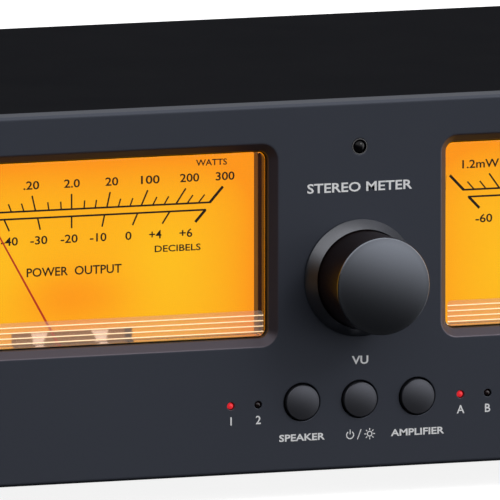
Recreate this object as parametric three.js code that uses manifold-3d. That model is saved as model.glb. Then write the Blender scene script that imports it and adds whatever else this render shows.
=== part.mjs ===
// Two-meter amplifier and speaker selector for a desk: a thick front panel with two lit power
// meters, a knob and three push buttons, on a shallow steel case with binding posts behind.
// Millimetres, +Z up. The front faces -Y, and the origin is on the table under the middle.
import * as THREE from 'three';
import { mergeVertices } from 'three/addons/utils/BufferGeometryUtils.js';
import Module from 'manifold-3d';

const wasm = await Module();
wasm.setup();

// ---- Driving dimensions -------------------------------------------------------------------
const GAP = 0.3;               // clearance between pieces that are assembled together

const panelWidth = 260;
const panelHeight = 84.6;
const panelThickness = 6;
const panelEdge = 0.6;         // polished chamfer round the panel's front
const panelCorner = 1.0;

const caseDepth = 146;         // from the panel's back to the case's rear edge
const caseInset = 0.35;        // the case stands this far inside the panel's outline
const sheet = 1.2;             // sheet steel of the cover and the bottom plate
const rearSheet = 1.5;

const footHeight = 7;
const footRadius = 9;
const footInsetX = 25;         // foot centres from the panel's ends
const footInsetY = 24;         // foot centres from the case's front and rear edges

// Meters: window in the panel, clear cover, dial, needle and movement.
const windowWidth = 91.2;
const windowGap = 39.6;        // between the two windows
const meterSpacing = windowWidth + windowGap;
const windowHeight = 46.65;
const windowTop = 8.8;         // from the panel's top edge to the window
const windowCorner = 4;
const windowBevel = 1.8;       // sloping edge of the window, widest at the front
const coverRecess = 2.8;       // clear cover's face, behind the panel's face
const coverWall = 1.8;
const coverSide = 1.2;
const coverEdge = 0.6;
const coverRim = 1.7;          // flange behind the panel that holds the cover
const rimThickness = 1.3;
const dialDepth = 12;          // dial's face, behind the panel's face
const dialThickness = 1;
const dialMargin = 1.05;       // dial's ends, inside the window's
const dialWidth = windowWidth - 2 * dialMargin;
const dialTop = windowTop + 3.45;                  // from the panel's top edge
const dialHeight = windowHeight - 4.65;
const pivotBelow = 4.85;       // needle's pivot, below the window
const pivotDrop = windowTop + windowHeight + pivotBelow;
const needleTilt = 29.1;       // degrees left of upright at rest
const needleLength = windowHeight + pivotBelow - 5.5;
const needleWidth = 0.55;
const needleThickness = 0.5;
const needleDepth = 9.6;       // needle's front face, behind the panel's face
const hubRadius = 2.6;
const housingWall = 1.2;
const housingDepth = 21;
const movementWidth = 26;
const movementRise = 9;        // movement's top, above the pivot
const pivotPin = 0.8;          // radius of the pin that carries the needle
const dialLedge = 3;           // width of the ledges that carry the dial's ends

// Knob and its ring.
const knobDrop = 40.6;         // knob's axis, below the panel's top edge
const knobRadius = 11.2;
const knobReach = 16;          // knob's face, in front of the panel's face
const knobEdge = 0.45;
const knobWall = 2.2;
const ringInner = knobRadius + GAP;
const ringOuter = ringInner + 1.95;
const ringHeight = 3;
const ringFoot = 0.4;
const shaftRadius = 3;
const knobBossRadius = shaftRadius + 2;
const bushingRadius = shaftRadius + 1.4;
const bushingReach = 1.5;      // bushing's end, in front of the panel's face
const potSize = 17;
const potDepth = 8;

// Buttons, lamps and remote-control eye.
const buttonRise = 16;         // buttons' axis, above the panel's bottom edge
const buttonPitch = 14;
const buttonRadius = 4;
const buttonHole = buttonRadius + 0.4;
const buttonReach = 1.2;
const buttonDome = 0.35;
const buttonTravel = 0.8;
const buttonFlange = buttonHole + 0.8;
const buttonStem = 1.6;
const switchSize = 6;
const switchDepth = 3.6;
const plungerLength = 1;
const lampRise = 15.9;         // lamps' axis, above the panel's bottom edge
const lampNear = 24.6;         // inner lamps, from the centre line
const lampFar = 31.2;          // outer lamps, from the centre line
const lampRadius = 0.7;
const lampBody = 1.45;
const lampHole = lampRadius + 0.25;
const eyeDrop = 10.45;
const eyeRadius = 1.6;
const eyeHole = eyeRadius + GAP;

// Boards.
const boardDepth = 17;         // control board's front, behind the panel's face
const boardThickness = 1.6;
const boardWide = 2 * (lampFar + 6.8);
const boardNarrow = windowGap - 2 * (housingWall + 1.6);
const boardTop = 5;
const boardRise = 4.6;         // board's lower edge, above the panel's
const relayWidth = 29;
const relayHeight = 13;
const relayDepth = 16;

// Binding posts, in four blocks of four.
const blockSpacing = 144;      // between the left and right blocks' centres
const rowLow = 31;             // rows of posts, above the table
const rowHigh = 63;
const postPitch = 16;
const postsPerBlock = 4;
const blockHeight = 17;
const blockWidth = postsPerBlock * postPitch;
const blockPlate = 3;
const blockBody = 12;          // block's depth inside the case
const bodyWidth = blockWidth - 4;
const bodyHeight = blockHeight - 4;
const relayBoardWidth = blockSpacing + bodyWidth + 18;
const relayBoardTop = rowHigh + 9.5;
const collarRadius = 5.6;
const collarLength = 2;
const studRadius = 1.9;
const capRadius = 5.2;
const capLength = 11;
const capBore = studRadius + GAP;
const studLength = collarLength + GAP + capLength - 1.3;
const jackWidth = 11;
const jackHeight = 11;
const jackDepth = 11.5;
const jackBore = 2.8;
const jackPin = 1.0;

// ---- Levels worked out from them ----------------------------------------------------------
const postReach = GAP + blockPlate + collarLength + GAP + capLength;
const overallDepth = knobReach + panelThickness + caseDepth + postReach;
const front = -overallDepth / 2 + knobReach;       // the panel's face
const panelBack = front + panelThickness;
const rear = panelBack + caseDepth;                // the case's rear edge
const panelBottom = footHeight - caseInset;
const panelTop = panelBottom + panelHeight;
const caseTop = panelTop - caseInset;
const caseBottom = footHeight;
const caseFront = panelBack + GAP;
const caseHalf = panelWidth / 2 - caseInset;
const meterX = meterSpacing / 2;
const windowZ = panelTop - windowTop - windowHeight / 2;
const innerWidth = windowWidth - 2 * windowBevel;
const innerHeight = windowHeight - 2 * windowBevel;
const innerCorner = windowCorner - windowBevel;
const pivotZ = panelTop - pivotDrop;
const knobZ = panelTop - knobDrop;
const buttonZ = panelBottom + buttonRise;
const lampZ = panelBottom + lampRise;
const housingFloor = pivotZ - hubRadius - 1.5;
const eyeZ = panelTop - eyeDrop;
const boardFront = front + boardDepth;
const relayBoardBack = rear - blockBody - GAP;
const relayBoardFront = relayBoardBack - boardThickness;

// ---- Finishes -----------------------------------------------------------------------------
function finish(color, roughness, metalness) {
  return new THREE.MeshStandardMaterial({ color, roughness, metalness });
}

const finishes = {
  panel: finish(0x32353e, 0.5, 0.6),
  cover: finish(0x1c1d1f, 0.8, 0.2),
  plate: finish(0x232427, 0.8, 0.2),
  rubber: finish(0x151515, 0.9, 0),
  knob: finish(0x3a3c45, 0.35, 0.7),
  ring: finish(0x2e3036, 0.35, 0.7),
  steel: finish(0x9a9a98, 0.4, 0.9),
  button: finish(0x2b2c30, 0.4, 0.4),
  dark: finish(0x111112, 0.7, 0),
  lamp: finish(0xd02018, 0.3, 0),
  eye: finish(0x0b0b0d, 0.15, 0),
  clear: finish(0xe8dcd0, 0.1, 0),
  dial: finish(0xffa81e, 0.6, 0),
  needle: finish(0xb4281c, 0.5, 0),
  board: finish(0x1f5a35, 0.5, 0),
  brass: finish(0xb8923f, 0.35, 0.9),
  red: finish(0xa81e1e, 0.35, 0),
  black: finish(0x18181a, 0.35, 0),
};

const model = new THREE.Group();
const SIDES = { knob: 40, large: 20, medium: 16, small: 8 };
const ARC = { window: 4, edge: 2 };    // steps in a quarter turn of a rounded corner

// ---- Making, joining and placing solids ---------------------------------------------------
function solid(geometry) {
  geometry.deleteAttribute('normal');
  geometry.deleteAttribute('uv');
  const merged = mergeVertices(geometry, 1e-4);
  const index = merged.index.array;
  const faces = [];
  for (let i = 0; i < index.length; i += 3) {
    const [a, b, c] = index.slice(i, i + 3);
    if (a !== b && b !== c && c !== a) faces.push(a, b, c);
  }
  const vertProperties = new Float32Array(merged.attributes.position.array);
  return new wasm.Manifold(new wasm.Mesh({ numProp: 3, vertProperties, triVerts: new Uint32Array(faces) }));
}

function place(name, shape, material, x = 0, y = 0, z = 0, parent = model) {
  const { vertProperties, triVerts } = shape.getMesh();
  const geometry = new THREE.BufferGeometry();
  geometry.setAttribute('position', new THREE.BufferAttribute(vertProperties, 3));
  geometry.setIndex(new THREE.BufferAttribute(triVerts, 1));
  geometry.computeVertexNormals();
  const mesh = new THREE.Mesh(geometry, material);
  mesh.name = name;
  mesh.position.set(x, y, z);
  parent.add(mesh);
  return mesh;
}

// A box between two corners.
function box(x0, x1, y0, y1, z0, z1) {
  const geometry = new THREE.BoxGeometry(x1 - x0, y1 - y0, z1 - z0);
  geometry.translate((x0 + x1) / 2, (y0 + y1) / 2, (z0 + z1) / 2);
  return solid(geometry);
}

// A turned piece about an axis along Y. The profile is a list of [radius, y].
function turned(profile, sides, x = 0, z = 0) {
  const points = profile.map(([r, y]) => new THREE.Vector2(r, y));
  const geometry = new THREE.LatheGeometry(points, sides);
  geometry.translate(x, 0, z);
  return solid(geometry);
}

function rod(radius, y0, y1, sides, x = 0, z = 0) {
  return turned([[0, y0], [radius, y0], [radius, y1], [0, y1]], sides, x, z);
}

// A rectangle with round corners, centred on the origin.
function roundedOutline(width, height, radius) {
  const [x, y] = [width / 2 - radius, height / 2 - radius];
  const shape = new THREE.Shape();
  shape.absarc(x, y, radius, 0, Math.PI / 2);
  shape.absarc(-x, y, radius, Math.PI / 2, Math.PI);
  shape.absarc(-x, -y, radius, Math.PI, Math.PI * 1.5);
  shape.absarc(x, -y, radius, Math.PI * 1.5, Math.PI * 2);
  shape.closePath();
  return shape;
}

// A rounded slab that stands in the XZ plane between two depths, with an optional chamfer
// round both faces.
function slab(width, height, radius, y0, y1, x = 0, z = 0, bevel = 0, curveSegments = ARC.edge) {
  const geometry = new THREE.ExtrudeGeometry(roundedOutline(width, height, radius), {
    depth: y1 - y0 - 2 * bevel,
    bevelEnabled: bevel > 0,
    bevelThickness: bevel,
    bevelSize: bevel,
    bevelOffset: -bevel,
    bevelSegments: 1,
    curveSegments,
  });
  geometry.rotateX(Math.PI / 2);
  geometry.translate(x, y1 - bevel, z);
  return solid(geometry);
}

// ---- Front panel --------------------------------------------------------------------------
const meterCentres = [-meterX, meterX];
const buttonCentres = [-buttonPitch, 0, buttonPitch];
const lampCentres = [-lampFar, -lampNear, lampNear, lampFar];

function windowCut(x) {
  const mouth = slab(windowWidth, windowHeight, windowCorner,
    front - 2 * windowBevel, front + windowBevel, x, windowZ, windowBevel, ARC.window);
  const bore = slab(innerWidth, innerHeight, innerCorner,
    front, panelBack + 1, x, windowZ, 0, ARC.window);
  return mouth.add(bore);
}

function frontPanel() {
  const middle = panelTop - panelHeight / 2;
  let panel = slab(panelWidth, panelHeight, panelCorner, front, panelBack + panelEdge, 0, middle, panelEdge);
  const behind = panelBack + 2 * panelEdge;
  panel = panel.subtract(box(-panelWidth, panelWidth, panelBack, behind, 0, panelTop + 1));
  for (const x of meterCentres) panel = panel.subtract(windowCut(x));
  const hole = (radius, sides, x, z) => rod(radius, front - 1, panelBack + 1, sides, x, z);
  panel = panel.subtract(hole(bushingRadius + GAP, SIDES.medium, 0, knobZ));
  for (const x of buttonCentres) panel = panel.subtract(hole(buttonHole, SIDES.large, x, buttonZ));
  for (const x of lampCentres) panel = panel.subtract(hole(lampHole, SIDES.small, x, lampZ));
  return panel.subtract(hole(eyeHole, SIDES.medium, 0, eyeZ));
}

place('front_panel', frontPanel(), finishes.panel);

// ---- Case ---------------------------------------------------------------------------------
const blockX = blockSpacing / 2;
const blockPlaces = [
  ['speaker_1', -blockX, rowHigh],
  ['speaker_2', blockX, rowHigh],
  ['amplifier_a', -blockX, rowLow],
  ['amplifier_b', blockX, rowLow],
];
const innerHalf = caseHalf - sheet - GAP;

function topCover() {
  const outside = box(-caseHalf, caseHalf, caseFront, rear, caseBottom, caseTop);
  const half = caseHalf - sheet;
  return outside.subtract(box(-half, half, caseFront - 1, rear + 1, caseBottom - 1, caseTop - sheet));
}

function rearPanel() {
  const [y0, y1] = [rear - rearSheet, rear];
  let panel = box(-innerHalf, innerHalf, y0, y1, caseBottom, caseTop - sheet - GAP);
  const cut = (x, z, width, height) => slab(width + 2 * GAP, height + 2 * GAP, 1, y0 - 1, y1 + 1, x, z);
  for (const [, x, z] of blockPlaces) panel = panel.subtract(cut(x, z, bodyWidth, bodyHeight));
  return panel.subtract(cut(0, rowLow, jackWidth, jackHeight));
}

place('top_cover', topCover(), finishes.cover);
place('rear_panel', rearPanel(), finishes.plate);
const plateRear = rear - rearSheet - GAP;
place('bottom_plate',
  box(-innerHalf, innerHalf, caseFront, plateRear, caseBottom, caseBottom + sheet), finishes.plate);

// ---- Feet ---------------------------------------------------------------------------------
function foot() {
  const top = footHeight - GAP;
  const profile = [[0, -top], [footRadius, -top], [footRadius, -1], [footRadius - 1, 0], [0, 0]];
  const geometry = new THREE.LatheGeometry(profile.map(([r, y]) => new THREE.Vector2(r, y)), SIDES.medium);
  geometry.rotateX(-Math.PI / 2);
  return solid(geometry);
}

for (const [side, x] of [['left', -1], ['right', 1]]) {
  for (const [end, y] of [['front', caseFront + footInsetY], ['rear', rear - footInsetY]]) {
    place(`foot_${end}_${side}`, foot(), finishes.rubber, x * (panelWidth / 2 - footInsetX), y);
  }
}

// ---- Knob, its ring and the potentiometer -------------------------------------------------
const knobFace = front - knobReach;
const boreEnd = knobFace + 4;
const shaftEnd = panelBack + 4;

function knob() {
  const back = front - 2 * GAP;
  const hollow = knobRadius - knobWall;
  const bossBack = front - bushingReach - GAP;
  const boreRadius = shaftRadius + GAP / 2;
  return turned([
    [0, knobFace], [knobRadius - knobEdge, knobFace], [knobRadius, knobFace + knobEdge],
    [knobRadius, back], [hollow, back], [hollow, knobFace + 3], [knobBossRadius, knobFace + 3],
    [knobBossRadius, bossBack], [boreRadius, bossBack], [boreRadius, boreEnd], [0, boreEnd],
  ], SIDES.knob);
}

function knobRing() {
  const [foot, top] = [front - GAP, front - GAP - ringHeight];
  return turned([
    [ringInner, top], [ringInner + 0.3, top], [ringOuter, foot - ringFoot], [ringOuter, foot],
    [ringInner, foot], [ringInner, top],
  ], SIDES.knob);
}

function potentiometer() {
  const [half, back] = [potSize / 2, boardFront - GAP];
  const shell = box(-half, half, back - potDepth, back, -half, half);
  const bushing = rod(bushingRadius, front - bushingReach, back - potDepth + 1, SIDES.medium);
  const bore = rod(shaftRadius + GAP / 2, front - bushingReach - 1, shaftEnd + GAP, SIDES.medium);
  return shell.add(bushing).subtract(bore);
}

place('sensitivity_knob', knob(), finishes.knob, 0, 0, knobZ);
place('knob_ring', knobRing(), finishes.ring, 0, 0, knobZ);
place('potentiometer', potentiometer(), finishes.steel, 0, 0, knobZ);
place('knob_shaft', rod(shaftRadius, boreEnd + GAP, shaftEnd, SIDES.medium), finishes.steel, 0, 0, knobZ);

// ---- Buttons and their switches -----------------------------------------------------------
const switchFront = boardFront - GAP - switchDepth;

function buttonCap() {
  const face = front - buttonReach;
  const dome = [0, 0.5, 0.9].map((part) => [
    part * buttonRadius, face + buttonDome * part ** 2,
  ]);
  const flange = panelBack + GAP;
  const stemEnd = switchFront - plungerLength - buttonTravel - GAP;
  return turned([
    ...dome, [buttonRadius, face + 2 * buttonDome], [buttonRadius, flange], [buttonFlange, flange],
    [buttonFlange, flange + 1.2], [buttonStem, flange + 1.2], [buttonStem, stemEnd], [0, stemEnd],
  ], SIDES.large);
}

function tactSwitch() {
  const half = switchSize / 2;
  const shell = box(-half, half, switchFront, boardFront - GAP, -half, half);
  return shell.add(rod(buttonStem, switchFront - plungerLength, switchFront + 1, SIDES.small));
}

['speaker', 'power', 'amplifier'].forEach((name, i) => {
  place(`${name}_button`, buttonCap(), finishes.button, buttonCentres[i], 0, buttonZ);
  place(`${name}_switch`, tactSwitch(), finishes.dark, buttonCentres[i], 0, buttonZ);
});

// ---- Lamps and remote-control eye ---------------------------------------------------------
// A round-nosed pipe through the panel, with a wider body on the board behind.
function pipe(nose, noseRadius, bodyRadius, sides) {
  const flange = panelBack + GAP;
  return turned([
    [0, nose], [0.7 * noseRadius, nose + 0.3 * noseRadius], [noseRadius, nose + noseRadius],
    [noseRadius, flange], [bodyRadius, flange], [bodyRadius, boardFront - GAP], [0, boardFront - GAP],
  ], sides);
}

['speaker_1', 'speaker_2', 'amplifier_a', 'amplifier_b'].forEach((name, i) => {
  const lamp = pipe(front - 0.1, lampRadius, lampBody, SIDES.small);
  place(`${name}_lamp`, lamp, finishes.lamp, lampCentres[i], 0, lampZ);
});
place('remote_eye', pipe(front - 0.5, eyeRadius, eyeRadius + 1, SIDES.medium), finishes.eye, 0, 0, eyeZ);

// ---- Control board ------------------------------------------------------------------------
function controlBoard() {
  const back = boardFront + boardThickness;
  const step = housingFloor - housingWall - GAP;
  const bar = (width, z0, z1) => box(-width / 2, width / 2, boardFront, back, z0, z1);
  const foot = bar(boardWide, panelBottom + boardRise, step);
  return bar(boardNarrow, step - 1, panelTop - boardTop).add(foot);
}

place('control_board', controlBoard(), finishes.board);

// ---- Meters -------------------------------------------------------------------------------
// Everything in a meter is drawn about its own centre line, and the group is moved sideways.
const coverFace = front + coverRecess;
const rimFront = panelBack + GAP;
const rimBack = rimFront + rimThickness;
const dialFace = front + dialDepth;
const dialBack = dialFace + dialThickness;
const housingFront = rimBack + GAP;
const housingBack = housingFront + housingDepth;
const housingRoof = panelTop - windowTop + GAP;
const movementFace = dialBack + GAP;
const hubBack = movementFace - GAP;

function clearCover() {
  const [width, height] = [innerWidth - 2 * GAP, innerHeight - 2 * GAP];
  const radius = innerCorner - GAP;
  const face = slab(width, height, radius, coverFace, rimBack, 0, windowZ, coverEdge);
  const body = slab(width, height, radius, coverFace + coverEdge, rimBack, 0, windowZ);
  const rim = slab(width + 2 * coverRim, height + 2 * coverRim, radius + coverRim,
    rimFront, rimBack, 0, windowZ);
  const hollow = slab(width - 2 * coverSide, height - 2 * coverSide, radius / 2,
    coverFace + coverWall, rimBack + 1, 0, windowZ);
  return face.add(body).add(rim).subtract(hollow);
}

function dialPlate() {
  const top = panelTop - dialTop;
  return box(-dialWidth / 2, dialWidth / 2, dialFace, dialBack, top - dialHeight, top);
}

function housing() {
  const half = windowWidth / 2;
  const outside = box(-half - housingWall, half + housingWall, housingFront, housingBack,
    housingFloor - housingWall, housingRoof + housingWall);
  const inside = box(-half, half, housingFront - 1, housingBack - housingWall, housingFloor, housingRoof);
  const ledge = (side) => {
    const [outer, inner] = [side * (half + 0.5), side * (dialWidth / 2 - dialLedge)];
    return box(Math.min(outer, inner), Math.max(outer, inner), dialBack + GAP,
      housingBack - housingWall / 2, pivotZ + movementRise, panelTop - dialTop);
  };
  return outside.subtract(inside).add(ledge(-1)).add(ledge(1));
}

function movement() {
  const half = movementWidth / 2;
  const back = housingBack - housingWall - GAP;
  const block = box(-half, half, movementFace, back, housingFloor + GAP, pivotZ + movementRise);
  return block.add(rod(pivotPin, front + needleDepth - 0.6, movementFace + 1, SIDES.small, 0, pivotZ));
}

// Blade and hub, standing upright on the origin.
function needle() {
  const [half, y] = [needleWidth / 2, front + needleDepth];
  const blade = box(-half, half, y, y + needleThickness, hubRadius / 2, needleLength);
  const hub = rod(hubRadius, y, hubBack, SIDES.medium);
  const bore = rod(pivotPin + GAP, y - 1, hubBack + 1, SIDES.small);
  return blade.add(hub).subtract(bore);
}

function meter(side, x) {
  const group = new THREE.Group();
  group.position.x = x;
  model.add(group);
  place(`${side}_meter_cover`, clearCover(), finishes.clear, 0, 0, 0, group);
  place(`${side}_dial_plate`, dialPlate(), finishes.dial, 0, 0, 0, group);
  place(`${side}_meter_housing`, housing(), finishes.dark, 0, 0, 0, group);
  place(`${side}_movement`, movement(), finishes.steel, 0, 0, 0, group);
  const pointer = place(`${side}_needle`, needle(), finishes.needle, 0, 0, pivotZ, group);
  pointer.rotation.y = -THREE.MathUtils.degToRad(needleTilt);
}

meter('left', -meterX);
meter('right', meterX);

// ---- Relay board, binding posts and power socket ------------------------------------------
const boardFloor = caseBottom + sheet + GAP;
const relayBoard = box(-relayBoardWidth / 2, relayBoardWidth / 2, relayBoardFront, relayBoardBack,
  boardFloor, relayBoardTop);
place('relay_board', relayBoard, finishes.board);

const relay = () => box(-relayWidth / 2, relayWidth / 2, relayBoardFront - GAP - relayDepth,
  relayBoardFront - GAP, -relayHeight / 2, relayHeight / 2);
const plateFace = rear + GAP + blockPlate;
const lastPost = (postsPerBlock - 1) / 2;
const postCentres = Array.from({ length: postsPerBlock }, (_, i) => (i - lastPost) * postPitch);

// Moulded block with its collars and studs, drawn about its own centre.
function terminalBlock() {
  const plate = slab(blockWidth, blockHeight, 2, rear + GAP, plateFace);
  let block = slab(bodyWidth, bodyHeight, 1, rear - blockBody, rear + GAP + 1).add(plate);
  for (const x of postCentres) {
    block = block.add(rod(collarRadius, plateFace - 1, plateFace + collarLength, SIDES.medium, x));
    block = block.add(rod(studRadius, plateFace - 1, plateFace + studLength, SIDES.small, x));
  }
  return block;
}

function postCap() {
  const [y0, y1] = [plateFace + collarLength + GAP, plateFace + collarLength + GAP + capLength];
  const edge = 0.5;
  return turned([
    [capBore, y0], [capRadius, y0], [capRadius, y1 - edge], [capRadius - edge, y1], [capBore, y1],
    [capBore, y0],
  ], SIDES.medium);
}

const postNames = ['left_minus', 'left_plus', 'right_minus', 'right_plus'];
for (const [name, x, z] of blockPlaces) {
  place(`${name}_relay`, relay(), finishes.dark, x, 0, z);
  place(`${name}_block`, terminalBlock(), finishes.black, x, 0, z);
  postCentres.forEach((offset, i) => {
    const cover = postNames[i].endsWith('plus') ? finishes.red : finishes.black;
    place(`${name}_cap_${postNames[i]}`, postCap(), cover, x + offset, 0, z);
  });
}

function powerSocket() {
  const [half, high] = [jackWidth / 2, jackHeight / 2];
  const [y0, y1] = [rear - jackDepth, rear + 0.5];
  const shell = box(-half, half, y0, y1, -high, high).subtract(rod(jackBore, y1 - 9, y1 + 1, SIDES.medium));
  return shell.add(rod(jackPin, y1 - 10, y1 - 1.5, SIDES.small));
}

place('power_socket', powerSocket(), finishes.black, 0, 0, rowLow);

export default model;
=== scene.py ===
"""Looks of a two-meter amplifier and speaker selector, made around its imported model.

Lengths are written in millimetres and turned into metres by MM where geometry is made.
The front faces -Y, so a depth is counted from the panel's face towards +Y.
"""
import math

import bmesh
import bpy
from mathutils import Matrix, Vector


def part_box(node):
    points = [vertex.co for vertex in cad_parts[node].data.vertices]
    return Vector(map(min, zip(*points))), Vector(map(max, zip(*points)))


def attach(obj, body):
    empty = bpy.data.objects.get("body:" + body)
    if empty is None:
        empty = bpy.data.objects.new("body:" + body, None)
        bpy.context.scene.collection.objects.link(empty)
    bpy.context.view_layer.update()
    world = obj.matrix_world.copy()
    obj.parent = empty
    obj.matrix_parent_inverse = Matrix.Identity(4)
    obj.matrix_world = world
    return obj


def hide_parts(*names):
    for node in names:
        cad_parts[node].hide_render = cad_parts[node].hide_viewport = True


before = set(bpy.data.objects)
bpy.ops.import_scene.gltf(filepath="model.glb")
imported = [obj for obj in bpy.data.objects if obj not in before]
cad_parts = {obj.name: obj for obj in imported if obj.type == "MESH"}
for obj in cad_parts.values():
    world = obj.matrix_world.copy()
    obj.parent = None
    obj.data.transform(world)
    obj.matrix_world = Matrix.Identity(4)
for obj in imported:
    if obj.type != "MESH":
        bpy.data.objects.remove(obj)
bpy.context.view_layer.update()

MM = 0.001


def node_box(node):
    """Lowest and highest corners of a node, in millimetres."""
    low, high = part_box(node)
    return Vector(low) / MM, Vector(high) / MM


def node_middle(node):
    low, high = node_box(node)
    return (low + high) / 2


def node_axis(node):
    """Lowest and highest corners, and the x, z and radius of a node that lies along Y."""
    low, high = node_box(node)
    return low, high, (low.x + high.x) / 2, (low.z + high.z) / 2, (high.x - low.x) / 2


PANEL_LOW, PANEL_HIGH = node_box("front_panel")
FACE = PANEL_LOW.y
PANEL_BACK = PANEL_HIGH.y
PANEL_TOP = PANEL_HIGH.z
PANEL_MIDDLE = (PANEL_LOW + PANEL_HIGH) / 2


# ---- Shader groups ------------------------------------------------------------------------
def new_group(name, inputs, outputs):
    """An empty shader group with its sockets, and its input and output nodes."""
    group = bpy.data.node_groups.new(name, "ShaderNodeTree")
    for label, kind, value in inputs:
        socket = group.interface.new_socket(label, in_out="INPUT", socket_type=kind)
        socket.default_value = value
    for label, kind in outputs:
        group.interface.new_socket(label, in_out="OUTPUT", socket_type=kind)
    return group, group.nodes.new("NodeGroupInput"), group.nodes.new("NodeGroupOutput")


def add(tree, kind, links=(), **settings):
    """A node with its settings, and links into it as (socket name or index, source socket or value)."""
    node = tree.nodes.new(kind)
    for key, value in settings.items():
        setattr(node, key, value)
    for socket, source in links:
        if isinstance(source, bpy.types.NodeSocket):
            tree.links.new(source, node.inputs[socket])
        else:
            node.inputs[socket].default_value = source
    return node


def math_node(tree, operation, first, second=0.0, clamp=False):
    return add(tree, "ShaderNodeMath", [(0, first), (1, second)], operation=operation, use_clamp=clamp).outputs[0]


def mix(tree, kind, sockets, values):
    node = add(tree, "ShaderNodeMix", data_type=kind)
    for socket, value in zip(sockets, values):
        if isinstance(value, bpy.types.NodeSocket):
            tree.links.new(value, node.inputs[socket])
        else:
            node.inputs[socket].default_value = value
    return node


def mix_colour(tree, factor, first, second):
    return mix(tree, "RGBA", (0, 6, 7), (factor, first, second)).outputs[2]


def mix_value(tree, factor, first, second):
    return mix(tree, "FLOAT", (0, 2, 3), (factor, first, second)).outputs[0]


def product(tree, first, second):
    return math_node(tree, "MULTIPLY", first, second)


def total(tree, first, second):
    return math_node(tree, "ADD", first, second)


def grain_group():
    """Fine blasted or moulded grain: a speckle for colour and roughness, and a height."""
    group, ins, outs = new_group(
        "fine_grain",
        [("Scale", "NodeSocketFloat", 2600.0), ("Blotch Scale", "NodeSocketFloat", 22.0),
         ("Speckle", "NodeSocketFloat", 0.5), ("Stretch", "NodeSocketVector", (1.0, 1.0, 1.0))],
        [("Mask", "NodeSocketFloat"), ("Height", "NodeSocketFloat")])
    place = add(group, "ShaderNodeTexCoord").outputs["Object"]
    stretched = add(group, "ShaderNodeVectorMath", [(0, place), (1, ins.outputs["Stretch"])], operation="MULTIPLY")
    fine = add(group, "ShaderNodeTexNoise", [("Vector", stretched.outputs[0]), ("Scale", ins.outputs["Scale"]),
                                             ("Detail", 3.0), ("Roughness", 0.6)])
    broad = add(group, "ShaderNodeTexNoise", [("Vector", place), ("Scale", ins.outputs["Blotch Scale"]),
                                              ("Detail", 2.0)])
    mask = mix_value(group, ins.outputs["Speckle"], broad.outputs["Fac"], fine.outputs["Fac"])
    group.links.new(mask, outs.inputs["Mask"])
    group.links.new(fine.outputs["Fac"], outs.inputs["Height"])
    return group


def edge_group():
    """Mask of the outer edges, broken up by noise, where a finish is rubbed thin."""
    group, ins, outs = new_group(
        "edge_wear",
        [("Radius", "NodeSocketFloat", 0.0004), ("Strength", "NodeSocketFloat", 1.0)],
        [("Mask", "NodeSocketFloat")])
    rounded = add(group, "ShaderNodeBevel", [("Radius", ins.outputs["Radius"])], samples=4)
    plain = add(group, "ShaderNodeNewGeometry")
    dot = add(group, "ShaderNodeVectorMath", [(0, rounded.outputs[0]), (1, plain.outputs["Normal"])],
              operation="DOT_PRODUCT")
    bend = math_node(group, "SUBTRACT", 1.0, dot.outputs["Value"])
    place = add(group, "ShaderNodeTexCoord").outputs["Object"]
    rub = add(group, "ShaderNodeTexNoise", [("Vector", place), ("Scale", 260.0), ("Detail", 4.0)])
    worn = product(group, product(group, bend, 5.0), rub.outputs["Fac"])
    mask = math_node(group, "MULTIPLY", worn, ins.outputs["Strength"], clamp=True)
    group.links.new(mask, outs.inputs["Mask"])
    return group


def dust_group():
    """Thin settled dust, only on faces that look up."""
    group, ins, outs = new_group(
        "settled_dust", [("Amount", "NodeSocketFloat", 0.1)], [("Mask", "NodeSocketFloat")])
    normal = add(group, "ShaderNodeSeparateXYZ", [(0, add(group, "ShaderNodeNewGeometry").outputs["Normal"])])
    up = math_node(group, "MAXIMUM", normal.outputs["Z"], 0.0)
    place = add(group, "ShaderNodeTexCoord").outputs["Object"]
    cloud = add(group, "ShaderNodeTexNoise", [("Vector", place), ("Scale", 60.0), ("Detail", 6.0)])
    motes = add(group, "ShaderNodeTexNoise", [("Vector", place), ("Scale", 1900.0), ("Detail", 1.0)])
    both = product(group, cloud.outputs["Fac"], motes.outputs["Fac"])
    group.links.new(product(group, product(group, both, up), ins.outputs["Amount"]),
                    outs.inputs["Mask"])
    return group


GRAIN = grain_group()
EDGE = edge_group()
DUST = dust_group()


# ---- Finishes -----------------------------------------------------------------------------
def rgba(colour):
    return (*colour, 1.0)


def place_group(tree, group, **values):
    node = tree.nodes.new("ShaderNodeGroup")
    node.node_tree = group
    for label, value in values.items():
        node.inputs[label.replace("_", " ")].default_value = value
    return node


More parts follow.
